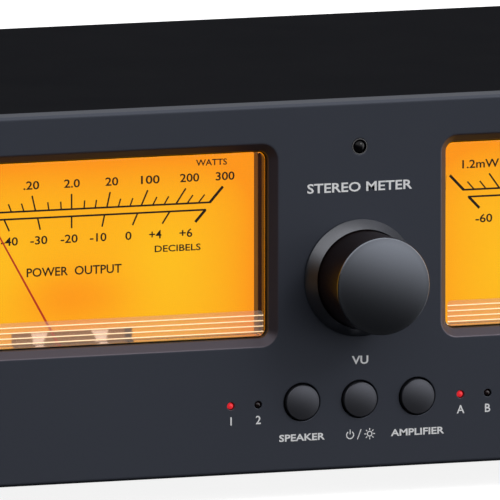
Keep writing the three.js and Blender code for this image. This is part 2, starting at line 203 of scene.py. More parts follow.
def finish(name, colour, second, rough, metallic=0.0, grain=2600.0, stretch=(1, 1, 1), speckle=0.5,
           bump=0.0, worn=None, wear=0.0, dust=0.0, **sockets):
    """A Principled finish: two close colours mixed by grain, a roughness range, wear on edges and dust."""
    material = bpy.data.materials.new(name)
    material.use_nodes = True
    tree = material.node_tree
    shader = tree.nodes["Principled BSDF"]
    texture = place_group(tree, GRAIN, Scale=grain, Speckle=speckle, Stretch=stretch)
    tone = mix_colour(tree, texture.outputs["Mask"], rgba(colour), rgba(second))
    roughness = mix_value(tree, texture.outputs["Mask"], rough[0], rough[1])
    if wear:
        edges = place_group(tree, EDGE, Strength=wear)
        tone = mix_colour(tree, edges.outputs["Mask"], tone, rgba(worn))
    if dust:
        film = place_group(tree, DUST, Amount=dust)
        tone = mix_colour(tree, film.outputs["Mask"], tone, rgba((0.45, 0.44, 0.42)))
    tree.links.new(tone, shader.inputs["Base Color"])
    tree.links.new(roughness, shader.inputs["Roughness"])
    shader.inputs["Metallic"].default_value = metallic
    if bump:
        relief = add(tree, "ShaderNodeBump", [("Height", texture.outputs["Height"]), ("Strength", bump),
                                              ("Distance", 0.00004)])
        tree.links.new(relief.outputs[0], shader.inputs["Normal"])
    for label, value in sockets.items():
        shader.inputs[label.replace("_", " ")].default_value = value
    return material


PANEL_METAL = finish("satin_anodised_panel", (0.043, 0.049, 0.068), (0.049, 0.056, 0.077), (0.46, 0.56),
                     metallic=0.55, bump=0.06, worn=(0.2, 0.21, 0.24), wear=0.25, dust=0.04)
COVER_PAINT = finish("matt_cover_paint", (0.0075, 0.0078, 0.0095), (0.0095, 0.0098, 0.0115), (0.7, 0.85),
                     grain=1500.0, bump=0.35, worn=(0.12, 0.12, 0.12), wear=0.3, dust=0.01, Specular_IOR_Level=0.0)
PLATE_PAINT = finish("matt_plate_paint", (0.013, 0.013, 0.014), (0.019, 0.019, 0.02), (0.6, 0.78),
                     grain=1500.0, bump=0.3, worn=(0.14, 0.14, 0.14), wear=0.3, dust=0.03)
FOOT_RUBBER = finish("moulded_rubber", (0.012, 0.012, 0.012), (0.02, 0.02, 0.019), (0.7, 0.9),
                     grain=900.0, bump=0.25, dust=0.2)
KNOB_METAL = finish("spun_knob", (0.19, 0.205, 0.24), (0.205, 0.22, 0.255), (0.22, 0.27), metallic=1.0,
                    grain=2200.0, bump=0.02, worn=(0.6, 0.6, 0.65), wear=0.4)
# Black knob side whose dark red tint is painted amber glow from the lit meters.
KNOB_SIDE_PAINTED_GLOW = finish("black_knob_side_painted_glow", (0.014, 0.007, 0.007), (0.018, 0.009, 0.009), (0.3, 0.4), metallic=0.6,
                   stretch=(1, 0.08, 1))
RING_METAL = finish("turned_ring", (0.2, 0.205, 0.225), (0.22, 0.225, 0.245), (0.26, 0.34), metallic=1.0,
                    grain=1600.0, bump=0.05)
# Window bevels: a lighter, pinker copy of the panel's anodised finish, which is painted light on the sloping window
# mouths.
BEVEL_METAL_PAINTED_LIGHT = finish("window_bevel_painted_light", (0.078, 0.066, 0.082), (0.088, 0.074, 0.092), (0.34, 0.42), metallic=0.55,
                     stretch=(1, 0.2, 1))
SLEEVE_METAL = finish("bright_sleeve", (0.35, 0.35, 0.37), (0.45, 0.45, 0.47), (0.2, 0.3), metallic=1.0)
BUTTON_PLASTIC = finish("satin_button", (0.1, 0.104, 0.124), (0.11, 0.114, 0.134), (0.3, 0.36),
                        metallic=0.8)
BLACK_MOULDING = finish("black_moulding", (0.011, 0.011, 0.012), (0.017, 0.017, 0.018), (0.42, 0.6),
                        grain=1200.0, bump=0.15, dust=0.03)
RED_CAP = finish("red_nut_plastic", (0.36, 0.012, 0.01), (0.42, 0.018, 0.014), (0.22, 0.34), bump=0.05)
BLACK_CAP = finish("black_nut_plastic", (0.011, 0.011, 0.012), (0.016, 0.016, 0.017), (0.22, 0.34), bump=0.05)
BRASS = finish("plated_brass", (0.75, 0.53, 0.24), (0.82, 0.6, 0.3), (0.16, 0.26), metallic=1.0)
STEEL = finish("zinc_steel", (0.5, 0.5, 0.49), (0.6, 0.6, 0.58), (0.28, 0.4), metallic=1.0, stretch=(1, 1, 0.1))
BLACK_SCREW = finish("black_screw_steel", (0.02, 0.02, 0.021), (0.035, 0.035, 0.036), (0.35, 0.5), metallic=0.8,
                     worn=(0.3, 0.3, 0.3), wear=0.6)
BOARD_MASK = finish("board_mask", (0.012, 0.085, 0.035), (0.016, 0.11, 0.045), (0.3, 0.42), grain=700.0)
RELAY_CASE = finish("relay_case", (0.014, 0.014, 0.015), (0.022, 0.022, 0.023), (0.35, 0.5), bump=0.1)
# Dark meter housing whose red-brown tint is painted amber glow from the lit dial.
HOUSING_PAINTED_GLOW = finish("lit_dark_housing", (0.045, 0.02, 0.015), (0.06, 0.028, 0.02), (0.6, 0.75), grain=1400.0)
# Olive-brown movement case; its amber emission is painted glow of the backlight falling on it.
MOVEMENT_CASE_PAINTED_GLOW = finish("movement_case_painted_glow", (0.2, 0.11, 0.035), (0.25, 0.14, 0.045), (0.5, 0.6), grain=1400.0,
                       Emission_Color=(0.15, 0.07, 0.012, 1.0), Emission_Strength=1.0)
# White plastic blocks; their pinkish emission is painted glow of the backlight on them.
WHITE_BLOCK_PAINTED_GLOW = finish("white_bearing_block_painted_glow", (0.62, 0.6, 0.56), (0.7, 0.68, 0.63), (0.4, 0.5),
                       Emission_Color=(1.0, 0.8, 0.68, 1.0), Emission_Strength=0.8)
EYE_DOME = finish("polished_dark_dome", (0.003, 0.003, 0.004), (0.004, 0.004, 0.005), (0.04, 0.08),
                  Specular_IOR_Level=0.25)
PRINT_GREY = finish("pale_grey_print", (0.8, 0.81, 0.83), (0.86, 0.87, 0.89), (0.5, 0.6), grain=3000.0)
LAMP_LIT = finish("lit_red_lamp", (0.3, 0.01, 0.012), (0.3, 0.01, 0.012), (0.4, 0.5),
                  Emission_Color=(0.8, 0.02, 0.03, 1.0), Emission_Strength=0.75)
LAMP_DARK = finish("unlit_red_lamp", (0.012, 0.006, 0.007), (0.018, 0.008, 0.009), (0.1, 0.15))
DIAL_INK = finish("dial_ink", (0.014, 0.006, 0.003), (0.02, 0.009, 0.004), (0.7, 0.8), grain=3000.0,
                  Specular_IOR_Level=0.0)
# Red needle paint with a red emission, which is painted glow of the backlight on the needle.
NEEDLE_PAINT_AND_GLOW = finish("needle_paint_and_painted_glow", (0.36, 0.018, 0.012), (0.42, 0.022, 0.014), (0.5, 0.6),
                      Specular_IOR_Level=0.1, Emission_Color=(0.5, 0.02, 0.004, 1.0), Emission_Strength=0.55)
RIBBON = finish("grey_ribbon_cable", (0.26, 0.26, 0.27), (0.33, 0.33, 0.34), (0.4, 0.5), stretch=(60, 1, 1))


def clear_plastic(name, colour, rough, clear=1.0):
    """Acrylic whose light passes through by the given share."""
    material = finish(name, colour, colour, rough, grain=400.0, Transmission_Weight=clear, IOR=1.49,
                      Specular_IOR_Level=0.08)
    let_light_through(material)
    return material


def let_light_through(material):
    """Light that bounced elsewhere, and shadows, pass straight through; what is looked at is refracted."""
    tree = material.node_tree
    rays = add(tree, "ShaderNodeLightPath").outputs
    bounced = math_node(tree, "MAXIMUM", rays["Is Diffuse Ray"], rays["Is Glossy Ray"])
    outside = product(tree, bounced, math_node(tree, "SUBTRACT", 1.0, rays["Is Transmission Ray"]))
    factor = math_node(tree, "MAXIMUM", outside, rays["Is Shadow Ray"])
    open_way = add(tree, "ShaderNodeBsdfTransparent", [("Color", (0.92, 0.92, 0.92, 1.0))])
    both = add(tree, "ShaderNodeMixShader", [(0, factor), (1, tree.nodes["Principled BSDF"].outputs[0]),
                                             (2, open_way.outputs[0])])
    tree.links.new(both.outputs[0], tree.nodes["Material Output"].inputs["Surface"])


ACRYLIC = clear_plastic("clear_acrylic", (0.97, 0.95, 0.93), (0.0, 0.02))
FROSTED = clear_plastic("frosted_acrylic", (1.0, 0.82, 0.7), (0.1, 0.14), clear=0.88)
# Dark red-brown for the clear cover's sides: painted shade of the window walls, tinted with painted amber reflection.
COVER_EDGE_PAINTED_SHADE = finish("cover_edge_painted_shade", (0.05, 0.022, 0.018), (0.065, 0.03, 0.024), (0.35, 0.45))
# Cream rib plastic; its amber emission is a painted highlight and glow where the ribs catch the light.
RIB_PLASTIC_PAINTED_GLOW = finish("rib_plastic_painted_glow", (0.95, 0.8, 0.62), (0.98, 0.85, 0.68), (0.25, 0.35), grain=900.0,
                     Emission_Color=(1.0, 0.62, 0.26, 1.0), Emission_Strength=0.6)


def glow_group():
    """Amber backlight: yellow where the two lamps shine up, orange at the rim and between the lamps."""
    group, ins, outs = new_group(
        "dial_backlight", [("Centre", "NodeSocketVector", (0.0, 0.0, 0.0))],
        [("Colour", "NodeSocketColor")])
    place = add(group, "ShaderNodeTexCoord").outputs["Object"]
    local = add(group, "ShaderNodeVectorMath", [(0, place), (1, ins.outputs["Centre"])], operation="SUBTRACT")
    axes = add(group, "ShaderNodeSeparateXYZ", [(0, local.outputs[0])])
    across = math_node(group, "ABSOLUTE", math_node(group, "DIVIDE", axes.outputs["X"], 0.0445))
    up = math_node(group, "DIVIDE", axes.outputs["Z"], 0.021)

    def blob(x, z, wide, tall):
        dx = math_node(group, "DIVIDE", math_node(group, "SUBTRACT", across, x), wide)
        dz = math_node(group, "DIVIDE", math_node(group, "SUBTRACT", up, z), tall)
        square = total(group, product(group, dx, dx), product(group, dz, dz))
        return math_node(group, "EXPONENT", product(group, square, -1.0))
    side = math_node(group, "POWER", across, 7.0)
    roof = math_node(group, "POWER", math_node(group, "MAXIMUM", up, 0.0), 3.0)
    rim = total(group, product(group, side, 0.75), product(group, roof, 0.75))
    between = product(group, blob(0.0, -0.5, 0.32, 0.34), 0.6)
    lamps = product(group, blob(0.5, -0.3, 0.25, 0.6), 0.3)
    cloud = add(group, "ShaderNodeTexNoise", [("Vector", place), ("Scale", 45.0), ("Detail", 1.0)])
    orange = total(group, total(group, rim, between),
                       product(group, cloud.outputs["Fac"], 0.2))
    orange = math_node(group, "SUBTRACT", total(group, orange, 0.22), lamps, clamp=True)
    tint = mix_colour(group, orange, (1.0, 0.53, 0.006, 1.0), (1.0, 0.31, 0.002, 1.0))
    group.links.new(tint, outs.inputs["Colour"])
    return group


GLOW = glow_group()


def dial_paper(side):
    """Translucent amber paper of one meter, lit from below."""
    material = bpy.data.materials.new(f"{side}_lit_dial_paper")
    material.use_nodes = True
    tree = material.node_tree
    shader = tree.nodes["Principled BSDF"]
    middle = node_middle(f"{side}_dial_plate") * MM
    light = place_group(tree, GLOW, Centre=middle)
    fibre = place_group(tree, GRAIN, Scale=1800.0, Speckle=0.7)
    power = mix_value(tree, fibre.outputs["Mask"], 1.05, 1.12)
    tree.links.new(light.outputs["Colour"], shader.inputs["Emission Color"])
    tree.links.new(power, shader.inputs["Emission Strength"])
    shader.inputs["Base Color"].default_value = (0.02, 0.01, 0.0, 1.0)
    shader.inputs["Roughness"].default_value = 0.8
    shader.inputs["Specular IOR Level"].default_value = 0.0
    return material


# ---- Outlines, in the XZ plane, counted anticlockwise ---------------------------------------
def circle(radius, x, z, steps):
    turn = 2 * math.pi / steps
    return [(x + radius * math.cos(i * turn), z + radius * math.sin(i * turn)) for i in range(steps)]


def rounded(width, height, radius, x, z, steps=10):
    """A rectangle with round corners; the same number of points whatever its size."""
    points = []
    for sx, sz, start in ((1, 1, 0), (-1, 1, 90), (-1, -1, 180), (1, -1, 270)):
        centre = (x + sx * (width / 2 - radius), z + sz * (height / 2 - radius))
        for i in range(steps + 1):
            angle = math.radians(start + 90 * i / steps)
            points.append((centre[0] + radius * math.cos(angle), centre[1] + radius * math.sin(angle)))
    return points


# ---- Mesh making --------------------------------------------------------------------------
def ring(bm, outline, y):
    return [bm.verts.new((x * MM, y * MM, z * MM)) for x, z in outline]


def bridge(bm, first, second):
    count = len(first)
    for i in range(count):
        j = (i + 1) % count
        bm.faces.new((first[i], first[j], second[j], second[i]))


def wall(bm, rings):
    """Joins a list of (outline, y) one to the next, and gives back the first and last rings."""
    made = [ring(bm, outline, y) for outline, y in rings]
    for first, second in zip(made, made[1:]):
        bridge(bm, first, second)
    return made[0], made[-1]


def fill(bm, loops):
    """A flat face over the outer loop, open at the others."""
    edges = []
    for loop in loops:
        edges += [bm.edges.get((loop[i], loop[(i + 1) % len(loop)])) for i in range(len(loop))]
    bmesh.ops.triangle_fill(bm, use_beauty=True, use_dissolve=False, edges=edges)


def piece(name, bm, material, body, replaces=(), slot=None, sharp=35.0, merge=0.0):
    """Turns a bmesh into a shaded object on its body, standing for the CAD nodes named."""
    if merge:
        bmesh.ops.remove_doubles(bm, verts=bm.verts, dist=merge)
    return settle(name, smoothed(plain_mesh(name, bm), sharp), material, body, replaces)


def plain_mesh(name, bm):
    """The finished mesh of a bmesh, its faces looking outwards."""
    bmesh.ops.recalc_face_normals(bm, faces=bm.faces)
    mesh = bpy.data.meshes.new(name)
    bm.to_mesh(mesh)
    bm.free()
    return mesh


def smoothed(mesh, sharp):
    mesh.shade_smooth()
    mesh.set_sharp_from_angle(angle=math.radians(sharp))
    return mesh


def settle(name, mesh, material, body, replaces=()):
    if material:
        mesh.materials.clear()
        mesh.materials.append(material)
    thing = bpy.data.objects.new(name, mesh)
    bpy.context.scene.collection.objects.link(thing)
    if replaces:
        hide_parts(*replaces)
    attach(thing, body)
    return thing


def drilled(bm, outer, holes):
    """A plate between two depths: outer and each hole are lists of (outline, y) from front to back."""
    edges = [wall(bm, rings) for rings in [outer] + holes]
    fill(bm, [front for front, _ in edges])
    fill(bm, [back for _, back in edges])


def turn(bm, profile, x, z, steps=96):
    """Spins a profile of (radius, y) about an axis along Y. It starts and ends on the axis or closes."""
    closed = profile[0] == profile[-1]
    rings = []
    for radius, y in profile[:-1] if closed else profile:
        if radius < 1e-6:
            rings.append([bm.verts.new((x * MM, y * MM, z * MM))])
        else:
            rings.append(ring(bm, circle(radius, x, z, steps), y))
    pairs = list(zip(rings, rings[1:])) + ([(rings[-1], rings[0])] if closed else [])
    for first, second in pairs:
        if len(first) == 1 or len(second) == 1:
            pole, loop = (first[0], second) if len(first) == 1 else (second[0], first)
            for i in range(len(loop)):
                bm.faces.new((pole, loop[i], loop[(i + 1) % len(loop)]))
        else:
            bridge(bm, first, second)


def spun(name, profile, x, z, steps, material, body, *role, **shading):
    """A turned piece: its profile spun about an axis along Y."""
    bm = bmesh.new()
    turn(bm, profile, x, z, steps=steps)
    return piece(name, bm, material, body, *role, **shading)


def sheet(bm, rings):
    """A closed body whose outline steps through the (outline, y) rings; the end faces are single faces."""
    for loop in wall(bm, rings):
        bm.faces.new(loop)


def arc(centre, radius, start, end, steps):
    """Points of (radius, y) along a round edge, angles in degrees from +radius towards +y."""
    angles = [math.radians(start + (end - start) * i / steps) for i in range(steps + 1)]
    return [(centre[0] + radius * math.cos(a), centre[1] + radius * math.sin(a)) for a in angles]


# ---- Front panel --------------------------------------------------------------------------
WINDOW_BEVEL = 1.8
WINDOW_GAP = 39.6              # between the two windows, at the panel's face
WINDOW_HEIGHT = 46.65
WINDOW_DROP = 8.8              # from the panel's top edge
WINDOW_CORNER = 4.0
METERS = {side: node_middle(f"{side}_meter_cover").x for side in ("left", "right")}
WINDOW_WIDTH = 2 * METERS["right"] - WINDOW_GAP
WINDOW_Z = PANEL_TOP - WINDOW_DROP - WINDOW_HEIGHT / 2
BUTTONS = ("speaker", "power", "amplifier")
LAMPS = ("speaker_1", "speaker_2", "amplifier_a", "amplifier_b")
BUTTON_RADIUS = 4.0
BUTTON_CLEARANCE = 0.4
LAMP_RADIUS = 0.7
EYE_RADIUS = 1.6


def panel_window(x):
    """The sloping mouth of a window, then its straight wall."""
    def outline(inset):
        radius = max(WINDOW_CORNER - inset, 1.2)
        return rounded(WINDOW_WIDTH - 2 * inset, WINDOW_HEIGHT - 2 * inset, radius, x, WINDOW_Z, steps=14)
    foot = WINDOW_BEVEL
    steps = ((-0.35, 0.0), (-0.1, 0.0), (0.04, 0.05), (0.15, 0.14), (0.4, 0.39), (foot - 0.3, foot - 0.3),
             (foot - 0.1, foot - 0.1), (foot, foot + 0.12))
    return [(outline(inset), FACE + depth) for inset, depth in steps] + [(outline(WINDOW_BEVEL), PANEL_BACK)]


def panel_hole(radius, x, z, edge=0.15, steps=64):
    ease = [(radius + edge + 0.2, 0.0), (radius + edge, 0.0), (radius + 0.3 * edge, 0.3 * edge), (radius, edge)]
    rings = [(circle(r, x, z, steps), FACE + depth) for r, depth in ease]
    return rings + [(circle(radius, x, z, steps), PANEL_BACK)]


def front_panel():
    width, height = PANEL_HIGH.x - PANEL_LOW.x, PANEL_HIGH.z - PANEL_LOW.z
    edge = ((1.0, 0.0), (0.7, 0.0), (0.56, 0.05), (0.06, 0.55), (0.0, 0.7), (0.0, 1.0))

    def outline(inset):
        return rounded(width - 2 * inset, height - 2 * inset, 1.2, PANEL_MIDDLE.x, PANEL_MIDDLE.z, steps=6)
    outer = [(outline(inset), FACE + depth) for inset, depth in edge] + [(outline(0), PANEL_BACK)]
    knob = node_middle("sensitivity_knob")
    holes = [panel_window(x) for x in METERS.values()]
    holes.append(panel_hole(4.7, knob.x, knob.z))
    for name in BUTTONS:
        x, z = node_axis(f"{name}_button")[2:4]
        holes.append(panel_hole(BUTTON_RADIUS + BUTTON_CLEARANCE, x, z, 0.2))
    for name in LAMPS:
        lamp = node_middle(f"{name}_lamp")
        holes.append(panel_hole(LAMP_RADIUS + 0.2, lamp.x, lamp.z, 0.12, 32))
    eye = node_middle("remote_eye")
    holes.append(panel_hole(EYE_RADIUS + 0.25, eye.x, eye.z, 0.2, 48))
    bm = bmesh.new()
    drilled(bm, outer, holes)
    panel = piece("front_panel_face", bm, PANEL_METAL, "chassis", ["front_panel"], "panel_anodised", sharp=20)
    # The sloping window mouths take the lighter copy of the finish, with its painted light.
    panel.data.materials.append(BEVEL_METAL_PAINTED_LIGHT)
    for polygon in panel.data.polygons:
        depth = polygon.center.y / MM - FACE
        across = min(abs(polygon.center.x / MM - x) for x in METERS.values())
        near = across < WINDOW_WIDTH / 2 + 0.2 and abs(polygon.center.z / MM - WINDOW_Z) < WINDOW_HEIGHT / 2 + 0.2
        if near and 0.02 < depth < WINDOW_BEVEL + 0.1:
            polygon.material_index = 1


# ---- Case ---------------------------------------------------------------------------------
def folded_outline(low, high, bend, sheet, steps=6):
    """A sheet folded down at both sides, seen from the front: outside, then back along the inside."""
    def corner(x, z, radius, side):
        turns = [math.radians(90 * i / steps) for i in range(steps + 1)]
        points = [(x - side * radius + side * radius * math.cos(a), z - radius + radius * math.sin(a)) for a in turns]
        return points if side > 0 else points[::-1]
    outside = [(high.x, low.z)] + corner(high.x, high.z, bend, 1)
    outside += corner(low.x, high.z, bend, -1) + [(low.x, low.z)]
    inner = max(bend - sheet, 0.2)
    inside = [(low.x + sheet, low.z)] + corner(low.x + sheet, high.z - sheet, inner, -1)[::-1]
    inside += corner(high.x - sheet, high.z - sheet, inner, 1)[::-1] + [(high.x - sheet, low.z)]
    return outside + inside


def top_cover():
    low, high = node_box("top_cover")
    outline = folded_outline(low, high, bend=1.8, sheet=1.2)
    bm = bmesh.new()
    front, back = wall(bm, [(outline, low.y), (outline, high.y)])
    for loop in (front, back):
        fill(bm, [loop])
    return piece("top_cover_shell", bm, COVER_PAINT, "chassis", ["top_cover"], "cover_paint", sharp=40)


# ---- Knob and ring ------------------------------------------------------------------------
def sensitivity_knob():
    """A cup with a slightly crowned face, a cut edge and a boss for the shaft."""
    low, high, x, z, radius = node_axis("sensitivity_knob")
    crown, edge, face_radius = 1.15, 0.35, radius - 0.5
    bore, boss, hollow = 3.15, 5.0, radius - 2.2
    floor, boss_back, bore_end = low.y + 3.2, high.y - 1.2, low.y + 4.0
    middle = low.y - 1.05
    dome = [(face_radius * i / 14, middle + crown * (i / 14) ** 2) for i in range(15)]
    rim = arc((face_radius, middle + crown + edge + 0.12), 0.5, -60, 0, 5)
    inside = [(hollow, high.y), (hollow, floor), (boss, floor), (boss, boss_back), (bore, boss_back),
              (bore, bore_end), (0, bore_end)]
    bm = bmesh.new()
    turn(bm, dome + rim + [(radius, high.y - 0.2), (radius - 0.2, high.y)] + inside, x, z, steps=160)
    knob = piece("knob_cup", bm, KNOB_METAL, "knob", ["sensitivity_knob"], "knob_metal", sharp=24)
    # The knob's side takes the black finish with the painted red glow.
    knob.data.materials.append(KNOB_SIDE_PAINTED_GLOW)
    back_of_edge = (middle + crown + edge + 0.2) * MM
    for polygon in knob.data.polygons:
        if polygon.center.y > back_of_edge:
            polygon.material_index = 1


def knob_ring():
    """A turned ring whose sloping face is wider at the panel."""
    low, high, x, z, outer = node_axis("knob_ring")
    inner = 11.5
    profile = [(inner, high.y), (inner, low.y), (outer, high.y - 0.3), (outer, high.y), (inner, high.y)]
    spun("knob_ring_turned", profile, x, z, 160, RING_METAL, "chassis", ["knob_ring"], "ring_metal", sharp=24)


# ---- Buttons, lamps and eye ---------------------------------------------------------------
def button_cap(name):
    """A crowned cap with a soft edge, its flange behind the panel and its stem."""
    low, high, x, z, flange = node_axis(f"{name}_button")
    radius, crown, flange_front, stem = BUTTON_RADIUS, 0.4, PANEL_BACK + 0.3, 1.6
    face_radius = radius - 0.35
    dome = [(face_radius * i / 10, low.y + crown * (i / 10) ** 2) for i in range(11)]
    edge = arc((face_radius, low.y + crown + 0.32), 0.35, -55, 0, 5)
    behind = [(radius, flange_front), (flange, flange_front), (flange, flange_front + 1.2),
              (stem, flange_front + 1.2), (stem, high.y), (0, high.y)]
    spun(f"{name}_button_cap", dome + edge + behind, x, z, 72, BUTTON_PLASTIC, f"{name}_button", [f"{name}_button"],
         "button_plastic", sharp=30)


def lamp(name, lit):
    """A round-nosed light pipe and the lamp body behind it."""
    low, high, x, z, body = node_axis(f"{name}_lamp")
    flange = PANEL_BACK + 0.3
    nose = arc((0, low.y + LAMP_RADIUS), LAMP_RADIUS, -90, 0, 6)
    profile = nose + [(LAMP_RADIUS, flange), (body, flange), (body, high.y), (0, high.y)]
    material, slot = (LAMP_LIT, "lamp_red_lit") if lit else (LAMP_DARK, "lamp_red_dark")
    spun(f"{name}_light", profile, x, z, 32, material, "chassis", [f"{name}_lamp"], slot)


def remote_eye():
    """A dark dome with its body behind the panel, in a thin bright sleeve."""
    low, high, x, z, body = node_axis("remote_eye")
    flange = PANEL_BACK + 0.3
    dome = arc((0, low.y + EYE_RADIUS), EYE_RADIUS, -90, 0, 10)
    dome += [(EYE_RADIUS, flange), (body, flange), (body, high.y), (0, high.y)]
    spun("remote_eye_dome", dome, x, z, 48, EYE_DOME, "chassis", ["remote_eye"], "eye_plastic")
    inner, outer, front, back = EYE_RADIUS + 0.04, EYE_RADIUS + 0.22, FACE - 0.06, FACE + 1.2
    sleeve = [(inner, back), (inner, front), (outer, front), (outer, back), (inner, back)]
    spun("remote_eye_sleeve", sleeve, x, z, 48, SLEEVE_METAL, "chassis", slot="ring_metal")


# ---- Lettering ----------------------------------------------------------------------------
def lettering(name, words, x, z, y, height, material, width=None, weight=0.014, facing=1):
    """Printed words that face -Y, or +Y when facing is -1: capital height and width in millimetres."""
    data = bpy.data.curves.new(name, "FONT")
    data.body = words
    data.align_x = "CENTER"
    data.size = 1.0
    data.offset = weight
    data.extrude = 0.01
    data.resolution_u = 3
    maker = bpy.data.objects.new(name + "_curve", data)
    bpy.context.scene.collection.objects.link(maker)
    mesh = bpy.data.meshes.new_from_object(maker.evaluated_get(bpy.context.evaluated_depsgraph_get()))
    bpy.data.objects.remove(maker)
    xs = [v.co.x for v in mesh.vertices]
    capital = 0.729
    tall = height / capital
    wide = width / (max(xs) - min(xs)) if width else tall
    middle = (max(xs) + min(xs)) / 2
    for vertex in mesh.vertices:
        across, up = (vertex.co.x - middle) * wide, (vertex.co.y - capital / 2) * tall
        film = 0.04 if vertex.co.z > 0 else 0.0
        vertex.co = Vector((x + facing * across, y - facing * film, z + up)) * MM
    return weld(name, mesh, material)


def weld(name, mesh, material):
    """Joins the sides and faces of raised lettering into closed bodies."""
    bm = bmesh.new()
    bm.from_mesh(mesh)
    bmesh.ops.remove_doubles(bm, verts=bm.verts, dist=2e-6)
    bmesh.ops.dissolve_degenerate(bm, edges=bm.edges, dist=1e-6)
    bmesh.ops.recalc_face_normals(bm, faces=bm.faces)
    bm.to_mesh(mesh)
    bm.free()
    return settle(name, mesh, material, "chassis")


def bar(bm, start, end, width, y, film=0.04):
    """A straight printed line between two (x, z) points, as a thin box."""
    along = Vector((end[0] - start[0], end[1] - start[1]))
    side = Vector((-along.y, along.x)).normalized() * width / 2
    corners = [(start[0] + side.x, start[1] + side.y), (start[0] - side.x, start[1] - side.y),
               (end[0] - side.x, end[1] - side.y), (end[0] + side.x, end[1] + side.y)]
    front, back = ring(bm, corners, y - film), ring(bm, corners, y)
    bridge(bm, front, back)
    bm.faces.new(front)
    bm.faces.new(back)


# ---- Meters -------------------------------------------------------------------------------
COVER_FACE, COVER_BACK = (node_box("left_meter_cover")[end].y for end in (0, 1))
DIAL_FACE = node_box("left_dial_plate")[0].y
DIAL_BACK = node_box("left_dial_plate")[1].y
PIVOT_DROP = 60.3              # needle's pivot, below the panel's top edge
PIVOT_Z = PANEL_TOP - PIVOT_DROP
REST_ANGLE = 29.1              # needle at rest, left of upright, in degrees
NOTCH_HALF = 14.7
NOTCH_TOP = PANEL_TOP - 51.0
STRIP_TOP = PANEL_TOP - 47.4
RIM_FRONT = PANEL_BACK + 0.3
RIBS_TOP = PANEL_TOP - 48.55
RIB_PITCH = 1.235
RIB_COUNT = 4


def meter_cover(side):
    """A clear tray with a round front edge, open behind, on its flange."""
    low, high = node_box(f"{side}_meter_cover")
    x, rim = METERS[side], 1.7
    width, height, corner = high.x - low.x - 2 * rim, high.z - low.z - 2 * rim, 1.9

    def outline(inset, least=0.5):
        return rounded(width - 2 * inset, height - 2 * inset, max(corner - inset, least), x, WINDOW_Z, steps=12)
    soft = 0.25
    angles = [math.radians(a) for a in range(0, 91, 18)]
    edge = [(soft + 0.25, 0.0)] + [(soft * (1 - math.sin(a)), soft * (1 - math.cos(a))) for a in angles]
    outside = [(outline(inset), COVER_FACE + depth) for inset, depth in edge]
    outside += [(outline(0), RIM_FRONT), (outline(-rim), RIM_FRONT), (outline(-rim), COVER_BACK)]

    def hollow(inset):
        return rounded(width - 1.6 - 2 * inset, height - 0.7 - 2 * inset, 0.6, x - 0.4, WINDOW_Z, steps=12)
    inside = [(hollow(0), COVER_BACK), (hollow(0), COVER_FACE + 1.9), (hollow(0.1), COVER_FACE + 1.8),
              (hollow(0.3), COVER_FACE + 1.8)]
    bm = bmesh.new()
    sheet(bm, outside + inside)
    cover = piece(f"{side}_clear_cover", bm, ACRYLIC, "chassis", [f"{side}_meter_cover"], "clear_plastic", sharp=50)
    # The cover's top, bottom and right sides get the dark red-brown of painted shade and amber reflection, in place
    # of their refraction.
    cover.data.materials.append(COVER_EDGE_PAINTED_SHADE)
    for polygon in cover.data.polygons:
        outer = abs(polygon.center.z / MM - WINDOW_Z) > height / 2 - 0.2
        right = polygon.center.x / MM > x and abs(polygon.normal.x) > 0.6
        if abs(polygon.normal.y) < 0.6 and (outer or right):
            polygon.material_index = 1


def frosted_strip(side):
    """The frosted lower strip of the cover, a thin film on its face."""
    x, width = METERS[side], WINDOW_WIDTH - 2 * WINDOW_BEVEL - 1.7
    top, bottom = STRIP_TOP, WINDOW_Z - WINDOW_HEIGHT / 2 + WINDOW_BEVEL + 0.4
    middle, height = (top + bottom) / 2, top - bottom
    bm = bmesh.new()
    outline = rounded(width, height, 0.9, x, middle, steps=4)
    sheet(bm, [(outline, COVER_FACE - 0.1), (outline, COVER_FACE - 0.02)])
    piece(f"{side}_frosted_strip", bm, FROSTED, "chassis", slot="clear_plastic")


def rib_bar(length, radius):
    """One half-round bar along X with closed round ends, lying in front of the plane y = 0."""
    bm = bmesh.new()
    arch = [(math.cos(math.radians(a)) * radius, -math.sin(math.radians(a)) * radius) for a in range(0, 181, 20)]
    half = length / 2
    ends = [[bm.verts.new((x * MM, y * MM, z * MM)) for z, y in arch] for x in (-half, half)]
    for i in range(len(arch) - 1):
        bm.faces.new((ends[0][i], ends[0][i + 1], ends[1][i + 1], ends[1][i]))
    bm.faces.new((ends[0][0], ends[1][0], ends[1][-1], ends[0][-1]))
    for loop in ends:
        bm.faces.new(loop)
    return plain_mesh("rib_bar", bm)


def new_tree(name, inputs):
    """An empty geometry-nodes tree, its named inputs' identifiers, and its input and output nodes."""
    tree = bpy.data.node_groups.new(name, "GeometryNodeTree")
    tree.interface.new_socket("Geometry", in_out="INPUT", socket_type="NodeSocketGeometry")
    sockets = {label: tree.interface.new_socket(label, in_out="INPUT", socket_type=kind).identifier
               for label, kind in inputs}
    tree.interface.new_socket("Geometry", in_out="OUTPUT", socket_type="NodeSocketGeometry")
    return tree, sockets, tree.nodes.new("NodeGroupInput"), tree.nodes.new("NodeGroupOutput")


def paint_copies(tree, copies, material, outs):
    """Makes the copies real geometry, paints them and sends them out."""
    real = add(tree, "GeometryNodeRealizeInstances", [("Geometry", copies)])
    painted = add(tree, "GeometryNodeSetMaterial", [("Geometry", real.outputs["Geometry"]), ("Material", material)])
    tree.links.new(painted.outputs["Geometry"], outs.inputs["Geometry"])


